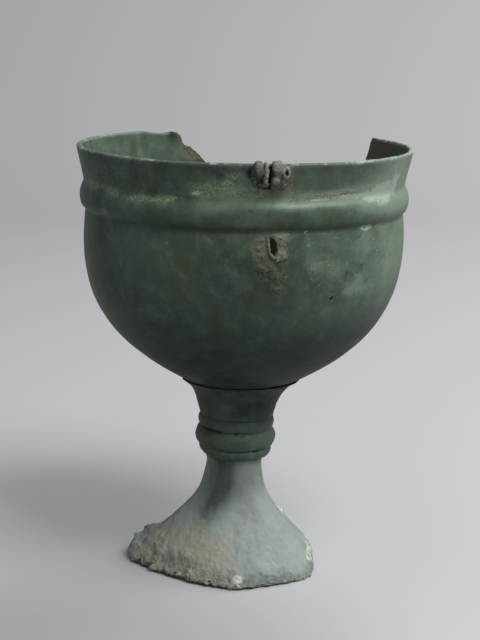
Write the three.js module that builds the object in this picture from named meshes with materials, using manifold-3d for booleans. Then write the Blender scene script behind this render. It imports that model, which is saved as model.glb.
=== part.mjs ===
// A footed bronze drinking cup: a round bowl soldered and riveted onto a waisted stem,
// two rings and a knop threaded on the stem's spigot, and a bell foot broken all round.
// Millimetres, +Z up. The cup stands on the plane z = 0 and leans a little towards +X.
// -Y is the front, where the remains of a lost hinged arm sit on the rim and the belly.

import * as THREE from 'three';
import { mergeVertices } from 'three/addons/utils/BufferGeometryUtils.js';
import Module from 'manifold-3d';

const wasm = await Module();
wasm.setup();

// Fits and facets
const gap = 0.3;             // left between any two pieces that touch
const bowlFacets = 52;       // round the bowl
const stemFacets = 44;       // round the stem, its rings and the foot
const smallFacets = 16;      // round pins and the rivet

// How the crooked cup stands, in degrees from upright towards +X
const stemLean = 2.8;
const bowlLean = 1.0;
const bowlShift = 1.0;       // the bowl was set this far off the stem's axis

// Foot
const footHeight = 42.4;     // table to the foot's top face
const footReach = 38;        // radius the flare would have at the table
const footTopRadius = 10.9;
const neckRadius = 10.3;
const neckHeight = 39.1;
const flarePull = [12.4, 25.5]; // radius and height that the flare bends towards
const footUnderRadius = 27;  // hollow's radius at the table
const footWebTop = 32;       // floor of the socket
const footWebBottom = 29;
const footHollowTop = 7;     // hollow's radius just under the web
const footHollowPull = [[13, 19], [16, 14]];
// Where the flare was knocked out of round: bent up at the left and down at the front left.
// The lift is at the table's radius, from a start radius, and a sharper bend is narrower.
const edgeBends = [
  { azimuth: 170, lift: 4.6, start: 24, sharpness: 3 },
  { azimuth: 226, lift: -11, start: 18, sharpness: 6 },
];
const footUnderDrop = 3;     // how far the edge reached below the table before it broke off
const footStock = 8;         // flare beyond the table's radius, which the break takes off
const footStockDrop = 1.6;   // how far the flare falls over that
const footTopRound = 1;      // height over which the neck widens to the foot's top

// Stem
const calyxHeight = 13.7;    // stem's collar to its mouth
const calyxRadius = 21;      // at the mouth
const collarRadius = 13.6;   // at the stem's lower face
const calyxWaist = 15.5;     // radius that the calyx bends towards
const calyxPull = [5.3, 9.7]; // heights above the collar between which it keeps that radius
const spigotRadius = 7.5;    // peg that carries the rings and enters the foot

// Rings on the spigot
const upperRing = { height: 4.2, top: 13.6, swell: 14.8, bottom: 13.5 };
const knop = { height: 6.7, top: 13.5, swell: 16.6, bottom: 13.6 };
const lowerRing = { height: 3.6, top: 13.3, swell: 13.9, bottom: 11.9 };

// Rivet that ties the bowl, stem and foot together
const rivetRadius = 1.6;
const rivetHeadRadius = 4.6;
const rivetHeadHeight = 2.2;
const rivetTailRadius = 3.2;
const rivetTailHeight = 1.6;
const rivetTailEnd = 2.3;    // radius of the tail's lower face
const rivetTailEdge = 0.3;   // straight edge of the tail under the washer
const washerRadius = 5;
const washerThickness = 1.4;

// Bowl, with radii and heights measured on its outside from where it rests on the stem
const wall = 1.7;
const rimRadius = 61.2;
const rimHeight = 86.8;
const floorDrop = 4;         // the floor hangs this far below the seat
const seatRadius = 20.5;     // the bowl's radius where it rests on the stem
const seatSlope = 0.53;      // rise for each step outwards there
const bellyRadius = 58.7;
const bellyHeight = 53;
const underFullness = 19.4;  // how far the underside keeps its slope
const sideFullness = 30;     // how far the side keeps upright
const ribBottom = 63.5;
const ribTop = 75.3;
const ribBottomRadius = 58.1;
const ribTopRadius = 58.5;
const ribSwell = 62.1;       // radius that the rib bends towards
const rimPull = [59.7, 79.5];
const lipDrop = 0.5;         // the rim's edge is rounded by this much

// Dish of solder between the bowl and the stem
const solderThickness = 0.4;
const solderLip = 0.5;       // how far it was squeezed out past the stem's mouth
const solderRise = 0.3;      // the bowl stands this much higher for it

// Fitting on the rim. Widths run sideways from its middle, to the right as seen from outside,
// and drops run down from the rim.
const fittingAzimuth = -82.5;
const saddleThickness = 0.7;
const saddleOutline = [[-5.7, 0.2], [-5.7, 6.4], [-3, 8.5], [5.4, 8.4], [8.2, 5.4], [8.4, 0.2]];
const pinDrop = 2.1;
const pinStandoff = 2.6;     // pin's axis to the bowl's wall beside its bore
const pinRadius = 0.9;
const pinHeadRadius = 1.9;
const pinHeadWidth = 1.5;
const pinInset = 0.8;        // solid metal left of the pin's bore in the left lug
const pinProud = 0.1;        // how far the left stub sticks out of the leaf

// Lugs and leaf, measured from the pin's axis
const leftKnuckleEdge = -5.4;
const leftKnuckleWidth = 2.9;
const leafWidth = 1.5;
const slotWidth = 1.5;       // open between the leaf and the right lug
const rightKnuckleWidth = 3.7;
const knuckleRise = 3.5;
const knuckleDrop = 1.5;
const knuckleFront = 1.7;
const knuckleRound = 0.8;    // rounding of the lug's lower front edge
const knuckleBackFall = 0.5; // the lug's back edge is this much lower than its top
const knuckleBackPull = 1.4;
const knuckleBevel = 0.35;
const leafRise = 2.9;
const leafDrop = 3.8;
const leafFront = 1.4;
const leafTip = 1.5;         // depth of the leaf's lower end
const leafBackFall = 0.6;
const bulbRadius = 1.6;
const bulbDrop = 3.5;

// Bed and torn plate where the arm's lower end was fixed, in degrees round the bowl from the
// fitting's middle and drops below the rib's lower edge
const bedThickness = 0.5;
const bedSetback = 0.35;     // left bare round the torn slot
const bedOutline = [
  [-6.1, 4.9], [-5.1, 2.3], [-1.9, 0.8], [4.9, 1.7], [6.9, 3.3], [7.7, 7.5],
  [7.7, 14.9], [6.5, 19.1], [4.7, 21.5], [1.5, 20.1], [-1.5, 16.6], [-3.9, 12.5], [-5.7, 7.9],
];
const plateThickness = 0.7;
const plateOutline = [[3.9, 3.1], [5.3, 4.1], [6.9, 8.7], [2.9, 9.6], [3.5, 6.5]];
const tear = [[0.6, 1.3], [2.1, 1.8], [3, 3.3], [3.3, 5.9], [2.4, 7.7], [1.3, 6.5]];

// Damage to the rim, as azimuths in degrees and drops below the rim
const rimBreak = [
  [34.4, -5.2], [35.2, 1.8], [35, 5.2], [36, 9.2], [40, 12.4], [46, 15.2], [54, 17], [62, 20],
  [71, 18.8], [79, 21.2], [87, 18.2], [95, 17], [101, 15.4], [105.6, 12.7], [106.8, 11.2],
  [108.4, 9.4], [110.3, 8.1], [112.1, 6.9], [114.1, 5.8], [114.9, 4.3], [115.3, 2.4],
  [116.8, 1], [119, 0.7], [123.3, 1.1], [128, 0.6], [131, -5.2],
];
const pinhole = { azimuth: 166, drop: 1.6, radius: 0.5 };

// Broken outline of the foot, as azimuths and radii, anticlockwise from the straight right edge
const footOutline = [
  [-42, 35.4], [-33, 35.8], [-25, 34.4], [-12, 31.9], [0, 31.2], [14, 32.1], [24, 33.2], [37, 32.4],
  [52, 34.1], [66, 33.2], [81, 34.9], [96, 33.6], [110, 35.3], [124, 34.6], [139, 37], [152, 38.2],
  [163, 39.4], [172, 39.2], [179, 38.8], [186, 37.6], [195, 34.8], [205, 32.4], [216, 30.6],
  [228, 29.6], [240, 29.6], [251, 30.6], [262, 31.8], [271, 33.6], [279, 33.8], [290, 33.3], [304, 33.9],
];

// Heights on the stem's axis, stacked up from the table
const lowerRingBase = footHeight + gap;
const knopBase = lowerRingBase + lowerRing.height + gap;
const upperRingBase = knopBase + knop.height + gap;
const collarBase = upperRingBase + upperRing.height + gap;
const mouthHeight = collarBase + calyxHeight;
const bowlBase = mouthHeight + solderRise;
const spigotEnd = footWebTop + gap;
const rivetBore = rivetRadius + gap;
const rivetEnd = footWebBottom - gap - washerThickness - gap;

const bronze = new THREE.MeshStandardMaterial({ color: 0x3b473e, roughness: 0.6, metalness: 0.35 });
const darkBronze = new THREE.MeshStandardMaterial({ color: 0x2c362f, roughness: 0.6, metalness: 0.35 });
const paleBronze = new THREE.MeshStandardMaterial({ color: 0x84938a, roughness: 0.8, metalness: 0.1 });
const greyBronze = new THREE.MeshStandardMaterial({ color: 0x666a62, roughness: 0.6, metalness: 0.4 });
const solder = new THREE.MeshStandardMaterial({ color: 0x6b6a5c, roughness: 0.75, metalness: 0.2 });

const degrees = THREE.MathUtils.degToRad;
const point = (radius, height) => new THREE.Vector2(radius, height);
const bend = (a, b, c) => new THREE.QuadraticBezierCurve(point(...a), point(...b), point(...c));
const sweep = (a, b, c, d) => new THREE.CubicBezierCurve(...[a, b, c, d].map((p) => point(...p)));

// Turns a closed three.js geometry into a solid that can be cut and joined.
function solid(geometry) {
  const bare = geometry.clone();
  bare.deleteAttribute('normal');
  bare.deleteAttribute('uv');
  const merged = mergeVertices(bare, 1e-4);
  const index = merged.index.array;
  const triangles = [];
  for (let i = 0; i < index.length; i += 3) {
    const [a, b, c] = index.slice(i, i + 3);
    if (a !== b && b !== c && c !== a) triangles.push(a, b, c);
  }
  return new wasm.Manifold(new wasm.Mesh({
    numProp: 3,
    vertProperties: new Float32Array(merged.attributes.position.array),
    triVerts: new Uint32Array(triangles),
  }));
}

function moved(shape, matrix) {
  return shape.transform(matrix.elements);
}

function toMesh(name, shape, material) {
  const result = shape.getMesh();
  const geometry = new THREE.BufferGeometry();
  geometry.setAttribute('position', new THREE.BufferAttribute(new Float32Array(result.vertProperties), 3));
  geometry.setIndex(new THREE.BufferAttribute(new Uint32Array(result.triVerts), 1));
  geometry.computeVertexNormals();
  const mesh = new THREE.Mesh(geometry, material);
  mesh.name = name;
  return mesh;
}

// Joins curves end to end into one list of points, each curve with its own number of steps.
function trace(...stretches) {
  const points = [];
  for (const [curve, steps] of stretches) {
    for (const next of curve.getPoints(steps)) {
      const last = points.at(-1);
      if (!last || last.distanceTo(next) > 1e-6) points.push(next);
    }
  }
  return points;
}

// Revolves a profile about Z. It runs anticlockwise: up its outside and down its inside.
function revolve(profile, facets) {
  return solid(new THREE.LatheGeometry(profile, facets).rotateX(Math.PI / 2));
}

// Moves a profile sideways, towards the axis where the distance is positive.
function offset(profile, distance) {
  const last = profile.length - 1;
  return profile.map((here, i) => {
    const before = profile[Math.max(i - 1, 0)];
    const after = profile[Math.min(i + 1, last)];
    const along = after.clone().sub(before).normalize();
    const shifted = here.clone().add(point(-along.y, along.x).multiplyScalar(distance));
    if (here.x === 0) shifted.x = 0;
    return shifted;
  });
}

// A prism that runs outwards from the Z axis, with its outline in degrees and heights.
function radialPrism(outline, nearRadius, farRadius) {
  const shape = new THREE.Shape(outline.map(([azimuth, height]) => point(degrees(azimuth), height)));
  const prism = new THREE.ExtrudeGeometry(shape, { depth: 1, bevelEnabled: false });
  const position = prism.attributes.position;
  for (let i = 0; i < position.count; i++) {
    const azimuth = position.getX(i);
    const height = position.getY(i);
    const radius = THREE.MathUtils.lerp(nearRadius, farRadius, position.getZ(i));
    position.setXYZ(i, radius * Math.cos(azimuth), radius * Math.sin(azimuth), height);
  }
  return solid(prism);
}

// A round bar along Z.
function bar(radius, bottom, top, facets) {
  const cylinder = new THREE.CylinderGeometry(radius, radius, top - bottom, facets);
  return solid(cylinder.rotateX(Math.PI / 2).translate(0, 0, (top + bottom) / 2));
}

function block(x, y, z) {
  const size = [x, y, z].map(([low, high]) => high - low);
  const middle = [x, y, z].map(([low, high]) => (high + low) / 2);
  return solid(new THREE.BoxGeometry(...size).translate(...middle));
}

// Bowl's outside from the middle of its floor up to the rim.
const bowlOutside = trace(
  [bend([0, -floorDrop], [seatRadius - floorDrop / seatSlope, -floorDrop], [seatRadius, 0]), 3],
  [sweep(
    [seatRadius, 0], [seatRadius + underFullness, underFullness * seatSlope],
    [bellyRadius, bellyHeight - sideFullness], [bellyRadius, bellyHeight],
  ), 8],
  [bend(
    [bellyRadius, bellyHeight], [bellyRadius, (bellyHeight + ribBottom) / 2], [ribBottomRadius, ribBottom],
  ), 2],
  [bend([ribBottomRadius, ribBottom], [ribSwell, (ribBottom + ribTop) / 2], [ribTopRadius, ribTop]), 5],
  [bend([ribTopRadius, ribTop], rimPull, [rimRadius, rimHeight - lipDrop]), 3],
);

// The space between two surfaces that follow the bowl's wall, both measured outwards from it.
function bowlShell(outer, inner) {
  const outside = offset(bowlOutside, -outer);
  const inside = offset(bowlOutside, -inner).reverse();
  const lip = outside.at(-1).clone().lerp(inside[0], 0.5).add(point(0, lipDrop));
  return revolve([...outside, lip, ...inside], bowlFacets);
}

// The bowl filled up to its rim and grown on its outside and top.
function bowlFilled(growth) {
  const outside = offset(bowlOutside, -growth);
  const top = rimHeight + growth;
  return revolve([...outside, point(outside.at(-1).x, top), point(0, top)], bowlFacets);
}

// Radius of the bowl's outside at a height above its seat.
function bowlRadiusAt(height) {
  const above = bowlOutside.findIndex((p) => p.y >= height);
  const low = bowlOutside[above - 1];
  const high = bowlOutside[above];
  return THREE.MathUtils.mapLinear(height, low.y, high.y, low.x, high.x);
}

// Turns an outline's angles and drops into azimuths and heights on the bowl.
function measuredFrom(outline, azimuth, height) {
  return outline.map(([angle, drop]) => [azimuth + angle, height - drop]);
}

// A prism with that outline, from well inside the bowl's wall to well outside it.
function throughWall(outline) {
  return radialPrism(outline, bellyRadius / 2, bellyRadius + rimRadius / 2);
}

// The same outline grown about its middle, by a margin at its ends.
function grown(outline, margin) {
  const box = new THREE.Box2().setFromPoints(outline.map(([azimuth, height]) => point(azimuth, height)));
  const middle = box.getCenter(point(0, 0));
  const half = box.getSize(point(0, 0)).multiplyScalar(0.5);
  const marginAngle = THREE.MathUtils.radToDeg(margin / bellyRadius);
  return outline.map(([azimuth, height]) => [
    azimuth + marginAngle * (azimuth - middle.x) / half.x,
    height + margin * (height - middle.y) / half.y,
  ]);
}

function makeBowl(rivetHole) {
  const hole = new THREE.SphereGeometry(pinhole.radius, 8, 6);
  const holeHeight = rimHeight - pinhole.drop;
  const holeRadius = bowlRadiusAt(holeHeight) - wall / 2;
  hole.scale(2 * wall / pinhole.radius, 1, 1).translate(holeRadius, 0, holeHeight);
  hole.rotateZ(degrees(pinhole.azimuth));
  return bowlShell(0, -wall)
    .subtract(rivetHole)
    .subtract(throughWall(measuredFrom(rimBreak, 0, rimHeight)))
    .subtract(throughWall(measuredFrom(tear, fittingAzimuth, ribBottom)))
    .subtract(solid(hole));
}

// A ring threaded on the spigot, with a swelling outside.
function makeRing(ring, base) {
  const bore = spigotRadius + gap;
  const top = base + ring.height;
  const outside = trace([bend([ring.bottom, base], [ring.swell, (base + top) / 2], [ring.top, top]), 5]);
  return revolve([point(bore, base), ...outside, point(bore, top), point(bore, base)], stemFacets);
}

function makeStem(bowlSeat) {
  const calyx = trace([sweep(
    [collarRadius, collarBase], [calyxWaist, collarBase + calyxPull[0]],
    [calyxWaist, collarBase + calyxPull[1]], [calyxRadius, mouthHeight],
  ), 7]);
  const profile = [
    point(rivetBore, spigotEnd), point(spigotRadius, spigotEnd), point(spigotRadius, collarBase),
    ...calyx, point(rivetBore, mouthHeight), point(rivetBore, spigotEnd),
  ];
  return revolve(profile, stemFacets).subtract(bowlSeat);
}

// Raises or lowers the flare where it was bent, more towards its edge.
function bendEdge(geometry) {
  const position = geometry.attributes.position;
  for (let i = 0; i < position.count; i++) {
    const x = position.getX(i);
    const y = position.getY(i);
    let lift = 0;
    for (const { azimuth, lift: most, start, sharpness } of edgeBends) {
      const facing = Math.max(0, Math.cos(Math.atan2(y, x) - degrees(azimuth)));
      const outwards = Math.max(0, (Math.hypot(x, y) - start) / (footReach - start));
      lift += most * outwards ** 2 * facing ** sharpness;
    }
    position.setZ(i, position.getZ(i) + lift);
  }
  return geometry;
}

function makeFoot(belowTable) {
  const socket = spigotRadius + gap;
  const edge = footReach + footStock;
  const hollow = trace([sweep([footHollowTop, footWebBottom], ...footHollowPull, [footUnderRadius, 0]), 5]);
  const flare = trace(
    [sweep([footReach, 0], flarePull, flarePull, [neckRadius, neckHeight]), 9],
    [bend(
      [neckRadius, neckHeight], [neckRadius, footHeight - footTopRound], [footTopRadius, footHeight],
    ), 2],
  );
  const profile = [
    point(rivetBore, footWebBottom), ...hollow,
    point(footUnderRadius, -footUnderDrop), point(edge, -footUnderDrop),
    point(edge, -footStockDrop), ...flare,
    point(socket, footHeight), point(socket, footWebTop), point(rivetBore, footWebTop),
    point(rivetBore, footWebBottom),
  ];
  const bell = bendEdge(new THREE.LatheGeometry(profile, stemFacets).rotateX(Math.PI / 2));
  const outline = footOutline.map(([azimuth, radius]) => {
    const angle = degrees(azimuth);
    return point(radius * Math.cos(angle), radius * Math.sin(angle));
  });
  const settings = { depth: 2 * footHeight, bevelEnabled: false };
  const prism = new THREE.ExtrudeGeometry(new THREE.Shape(outline), settings);
  return solid(bell).intersect(solid(prism.translate(0, 0, -footHeight / 2))).subtract(belowTable);
}

function makeRivet(bowlWallGrown) {
  const floorTop = bowlBase - floorDrop + wall;
  const headTop = floorTop + gap + rivetHeadHeight;
  const tailBase = rivetEnd - rivetTailHeight;
  const head = trace([bend(
    [rivetHeadRadius, headTop - rivetHeadHeight], [rivetHeadRadius, headTop], [0, headTop],
  ), 5]);
  const dome = revolve([point(0, floorTop), point(rivetHeadRadius, floorTop), ...head], smallFacets)
    .subtract(bowlWallGrown);
  const tail = revolve([
    point(0, tailBase), point(rivetTailEnd, tailBase), point(rivetTailRadius, rivetEnd - rivetTailEdge),
    point(rivetTailRadius, rivetEnd), point(0, rivetEnd),
  ], smallFacets);
  return bar(rivetRadius, tailBase, headTop - rivetHeadHeight / 2, smallFacets).add(dome).add(tail);
}

function makeWasher() {
  const top = footWebBottom - gap;
  const profile = [
    point(rivetBore, top - washerThickness), point(washerRadius, top - washerThickness),
    point(washerRadius, top), point(rivetBore, top), point(rivetBore, top - washerThickness),
  ];
  return revolve(profile, smallFacets);
}

function makeSolder() {
  const dish = moved(bowlShell(gap + solderThickness, gap), bowlFrame.matrix);
  return dish
    .intersect(bar(calyxRadius + solderLip, collarBase, bowlBase + floorDrop, bowlFacets))
    .subtract(bar(rivetBore, collarBase, bowlBase, smallFacets));
}

// Pieces of the rim fitting, in a frame whose -Y points outwards through the fitting.
const pinHeight = rimHeight - pinDrop;
const fittingWall = bowlRadiusAt(pinHeight);
const pinBore = pinRadius + gap;
const wallByBore = Math.max(bowlRadiusAt(pinHeight - pinBore), bowlRadiusAt(pinHeight + pinBore));
const pinY = -(wallByBore + pinStandoff);
const leftKnuckle = [leftKnuckleEdge, leftKnuckleEdge + leftKnuckleWidth];
const leaf = [leftKnuckle[1] + gap, leftKnuckle[1] + gap + leafWidth];
const rightKnuckle = [leaf[1] + slotWidth, leaf[1] + slotWidth + rightKnuckleWidth];
const pinHeadBase = rightKnuckle[1] + gap;
const pinBoreStart = leftKnuckle[0] + pinInset;
const across = (span, shape) => shape.rotate([0, 90, 0]).translate([span[0], pinY, pinHeight]);

function pinBar(radius, from, to) {
  return across([from], bar(radius, 0, to - from, smallFacets));
}

function arcAt(width) {
  return -90 + THREE.MathUtils.radToDeg(width / fittingWall);
}

// Turns a shape drawn with depth and height into a slab across the fitting.
function slab(shape, left, settings) {
  const upright = new THREE.Matrix4().set(0, 0, 1, left, 1, 0, 0, 0, 0, 1, 0, 0, 0, 0, 0, 1);
  return solid(new THREE.ExtrudeGeometry(shape, settings).applyMatrix4(upright));
}

// One lug of the hinge: round over the pin and running back to the saddle.
function makeKnuckle([left, right], clearance) {
  const shape = new THREE.Shape();
  const back = -(fittingWall + gap + saddleThickness / 2);
  const low = pinHeight - knuckleDrop;
  const top = pinHeight + knuckleRise;
  const front = pinY - knuckleFront;
  shape.moveTo(back, low);
  shape.lineTo(front + knuckleRound, low);
  shape.quadraticCurveTo(front, low, front, pinHeight);
  shape.bezierCurveTo(front, top, back - knuckleBackPull, top, back, top - knuckleBackFall);
  return slab(shape, left + knuckleBevel, {
    depth: right - left - 2 * knuckleBevel, bevelThickness: knuckleBevel, bevelSize: knuckleBevel,
    bevelOffset: -knuckleBevel, bevelSegments: 1, curveSegments: 5,
  }).subtract(clearance);
}

function makeSaddle(clearance) {
  const outline = saddleOutline.map(([width, drop]) => [arcAt(width), rimHeight - drop]);
  const plate = bowlShell(gap + saddleThickness, gap).intersect(throughWall(outline));
  const bulbHeight = pinHeight - bulbDrop;
  const bulb = new THREE.SphereGeometry(bulbRadius, 12, 8);
  const plateFace = bowlRadiusAt(bulbHeight) + gap + saddleThickness;
  bulb.translate(rightKnuckle[0] + bulbRadius, -plateFace, bulbHeight);
  return plate
    .add(makeKnuckle(leftKnuckle, clearance))
    .add(makeKnuckle(rightKnuckle, clearance))
    .add(solid(bulb).subtract(clearance))
    .subtract(pinBar(pinBore, pinBoreStart, pinHeadBase))
    .subtract(pinBar(pinHeadRadius + gap, rightKnuckle[1], pinHeadBase + pinHeadWidth + gap));
}

// The strip of the lost arm that still hangs on the left stub of the pin.
function makeLeaf(clearance) {
  const [left, right] = leaf;
  const shape = new THREE.Shape();
  const back = -(fittingWall + gap + saddleThickness);
  const front = pinY - leafFront;
  const top = pinHeight + leafRise;
  shape.moveTo(back, pinHeight - leafDrop);
  shape.lineTo(back - leafTip, pinHeight - leafDrop);
  shape.quadraticCurveTo(front, pinHeight - knuckleDrop, front, pinHeight);
  shape.quadraticCurveTo(front, top, pinY, top);
  shape.lineTo(back, top - leafBackFall);
  return slab(shape, left, { depth: right - left, bevelEnabled: false, curveSegments: 4 })
    .subtract(clearance)
    .subtract(pinBar(pinBore, left - gap, right + gap));
}

function makeLeftPin() {
  return pinBar(pinRadius, pinBoreStart + gap, leaf[1] + pinProud);
}

function makeRightPin() {
  return pinBar(pinRadius, rightKnuckle[0] + gap, pinHeadBase + pinHeadWidth / 2)
    .add(pinBar(pinHeadRadius, pinHeadBase, pinHeadBase + pinHeadWidth));
}

// A patch of even thickness that follows the bowl's wall.
function makePatch(outline, standoff, thickness) {
  const placed = measuredFrom(outline, fittingAzimuth, ribBottom);
  return bowlShell(standoff + thickness, standoff).intersect(throughWall(placed));
}

function makeBed() {
  const hole = grown(measuredFrom(tear, fittingAzimuth, ribBottom), bedSetback);
  return makePatch(bedOutline, gap, bedThickness).subtract(throughWall(hole));
}

// Stand frame: the stem's axis, from the table up. The bowl hangs in it with its own lean.
const stand = new THREE.Group();
stand.rotation.y = degrees(stemLean);
const bowlFrame = new THREE.Group();
bowlFrame.position.set(bowlShift, 0, bowlBase);
bowlFrame.rotation.y = degrees(bowlLean - stemLean);
const fitting = new THREE.Group();
fitting.rotation.z = degrees(fittingAzimuth + 90);
stand.add(bowlFrame);
bowlFrame.add(fitting);
stand.updateMatrix();
bowlFrame.updateMatrix();

const standInverse = stand.matrix.clone().invert();
const bowlInverse = bowlFrame.matrix.clone().invert();
const reach = 3 * footReach;
const belowTable = moved(block([-reach, reach], [-reach, reach], [-reach, 0]), standInverse);
const bowlSeat = moved(bowlFilled(2 * gap + solderThickness), bowlFrame.matrix);
const bowlWallGrown = moved(bowlShell(gap, -wall - gap), bowlFrame.matrix);
const rivetHole = moved(bar(rivetBore, 0, bowlBase + floorDrop, smallFacets), bowlInverse);
const plateStandoff = gap + bedThickness + gap;

stand.add(toMesh('foot', makeFoot(belowTable), paleBronze));
stand.add(toMesh('knop_lower_ring', makeRing(lowerRing, lowerRingBase), darkBronze));
stand.add(toMesh('knop', makeRing(knop, knopBase), darkBronze));
stand.add(toMesh('knop_upper_ring', makeRing(upperRing, upperRingBase), darkBronze));
stand.add(toMesh('stem', makeStem(bowlSeat), darkBronze));
stand.add(toMesh('seam_solder', makeSolder(), solder));
stand.add(toMesh('tie_rivet', makeRivet(bowlWallGrown), darkBronze));
stand.add(toMesh('rivet_washer', makeWasher(), darkBronze));
bowlFrame.add(toMesh('bowl', makeBowl(rivetHole), bronze));
bowlFrame.add(toMesh('lower_mount_bed', makeBed(), solder));
bowlFrame.add(toMesh('torn_plate', makePatch(plateOutline, plateStandoff, plateThickness), greyBronze));
fitting.add(toMesh('hinge_saddle', makeSaddle(bowlFilled(gap)), greyBronze));
fitting.add(toMesh('hinge_leaf', makeLeaf(bowlFilled(2 * gap + saddleThickness)), greyBronze));
fitting.add(toMesh('hinge_pin_left', makeLeftPin(), greyBronze));
fitting.add(toMesh('hinge_pin_right', makeRightPin(), greyBronze));

// The origin is under the middle of the cup's bounding box, on the table.
const cup = new THREE.Group();
cup.add(stand);
cup.updateMatrixWorld(true);
const bounds = new THREE.Box3().setFromObject(cup, true);
const middle = bounds.getCenter(new THREE.Vector3());
stand.position.set(-middle.x, -middle.y, 0);
cup.updateMatrixWorld(true);

export default cup;
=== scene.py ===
import math
from functools import partial

import bmesh
import bpy
import numpy as np
from bpy.props import FloatProperty, FloatVectorProperty, IntProperty, PointerProperty
from mathutils import Matrix, Vector, noise


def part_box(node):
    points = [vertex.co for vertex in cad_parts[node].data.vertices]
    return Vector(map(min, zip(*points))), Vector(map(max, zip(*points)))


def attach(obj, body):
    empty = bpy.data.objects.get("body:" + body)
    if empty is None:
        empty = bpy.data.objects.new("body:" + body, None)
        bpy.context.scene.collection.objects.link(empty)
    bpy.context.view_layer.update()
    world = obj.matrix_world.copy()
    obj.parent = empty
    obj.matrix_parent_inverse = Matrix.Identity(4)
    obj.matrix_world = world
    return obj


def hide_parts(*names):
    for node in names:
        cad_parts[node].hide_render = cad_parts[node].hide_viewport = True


bl_info = {
    "name": "Footed bronze chalice",
    "version": (1, 0, 0),
    "blender": (4, 5, 0),
    "location": "3D View > Sidebar > Chalice",
    "description": "Dresses the frame of a corroded bronze cup with its finished pieces",
    "category": "Add Mesh",
}

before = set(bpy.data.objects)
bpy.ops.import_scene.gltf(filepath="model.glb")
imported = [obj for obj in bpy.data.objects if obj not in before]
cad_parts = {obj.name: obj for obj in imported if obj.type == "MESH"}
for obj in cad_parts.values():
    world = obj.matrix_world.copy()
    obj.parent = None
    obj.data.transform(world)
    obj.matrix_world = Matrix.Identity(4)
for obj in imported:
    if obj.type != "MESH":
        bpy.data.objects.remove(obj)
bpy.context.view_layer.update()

# Everything drawn below is in millimetres and becomes metres when a mesh is finished.
MM = 0.001

# A full spin is made of this many equal sectors, which is quicker than one long spin.
SECTORS = 20

# Heights on the stem's axis, from the table
FOOT_TOP = 42.4
LOWER_RING = (42.7, 46.3)
KNOP = (46.6, 53.3)
UPPER_RING = (53.6, 57.8)
COLLAR = 58.1
BOWL_BASE = 72.1
JOINTS = (42.6, 46.5, 53.5, 57.9)

# Radii of the hole for the tie rivet, and of the hole in the rings and in the foot's neck
RIVET_BORE = 1.9
SOCKET = 7.8

# Space between the bowl and the stem's seat, and the solder's underside and thickness in it
SEAT_GAP = 0.75
SOLDER_GAP = 0.68
SOLDER_THICK = 0.38

# Azimuths between which the solder spilled out of the joint
SPILL = (-95, -50, 30, 60)

# Open clefts between the rings: height, depth and the azimuths where each opens, is open, wanes and ends
CLEFTS = (
    (53.45, 0.6, -178, -165, -126, -104), (46.4, 0.4, -128, -110, -50, -20),
    (53.2, 0.4, -98, -90, -78, -70),
)

# Bowl's outside, as radii and heights above its seat
RIM_HEIGHT = 86.8
BOWL_CURVES = (
    ((0, -4), (12.95, -4), (20.5, 0)),
    ((20.5, 0), (39.9, 10.28), (58.7, 23), (58.7, 53)),
    ((58.7, 53), (58.6, 58.25), (58, 64.2)),
    ((58, 64.2), (60.6, 64.8), (60.6, 71.6), (58.4, 73.7)),
    ((58.4, 73.7), (59.2, 78), (61.2, 86.3), (61.3, 86.9)),
)

# Height of the groove below the rib
RIB_EDGE = 63.8

# What is left of the rim at its broken back, as azimuths and drops
RIM_BREAK = (
    (34.5, 0), (35, 1.8), (35.2, 5.2), (36, 9.2), (40, 12.4), (46, 15.2), (54, 17), (62, 20),
    (71, 18.8), (79, 21.2), (87, 18.2), (95, 17), (101, 15.4), (105.6, 12.7), (106.8, 11.2),
    (108.4, 9.4), (110.3, 8.1), (112.1, 6.9), (114.1, 5.8), (114.9, 4.3), (115.3, 2.4),
    (116.8, 1), (119, 0.7), (123.3, 1.1), (128, 0.6), (131, 0),
)

# Height on the wall below which nothing is broken off, so its rows stay level
BREAK_FLOOR = 60

# Width of one degree on the bowl's belly
DEGREE = math.radians(59)

# The fitting's azimuth, and the height of its pin
FITTING_AZIMUTH = -82.5
PIN_HEIGHT = 84.7

# Where the band rises from the rib, as azimuths and heights
BAND_FOOT = ((-150, 73.6), (-82, 74), (-75, 73.8), (-68, 74.6), (-57, 75.2), (-34, 76.2), (-18, 78))

# Marks on the bowl's outside: azimuth, height, half width, half height and strength
CRUST_SPOTS = (
    (-103.5, 75.9, 4, 1, 0.7), (-99.8, 77.7, 4.6, 1.5, 0.7), (-96.2, 79.6, 3.4, 1.7, 0.62),
    (-94, 82, 2.4, 1.5, 0.55), (-90.5, 77, 5, 2.2, 0.5), (-85.5, 77.5, 6.5, 2.6, 0.46),
    (-76, 79, 2, 4.6, 0.5), (-122.5, 73, 5, 1.1, 0.62), (-130, 72.7, 4, 0.8, 0.45),
    (-115, 74.4, 4, 0.8, 0.4), (-142, 74.3, 4, 1, 0.62), (-152, 74.4, 5, 0.9, 0.5),
    (-143, 66, 2.2, 0.9, 0.4), (-78, 62.6, 2.6, 1.2, 0.5), (-60, 53, 6, 5, 0.2),
    (-136, 80, 14, 3.5, 0.24), (-66, 75.6, 6, 1, 0.6), (-52, 76.3, 6, 1, 0.62),
)
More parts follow.
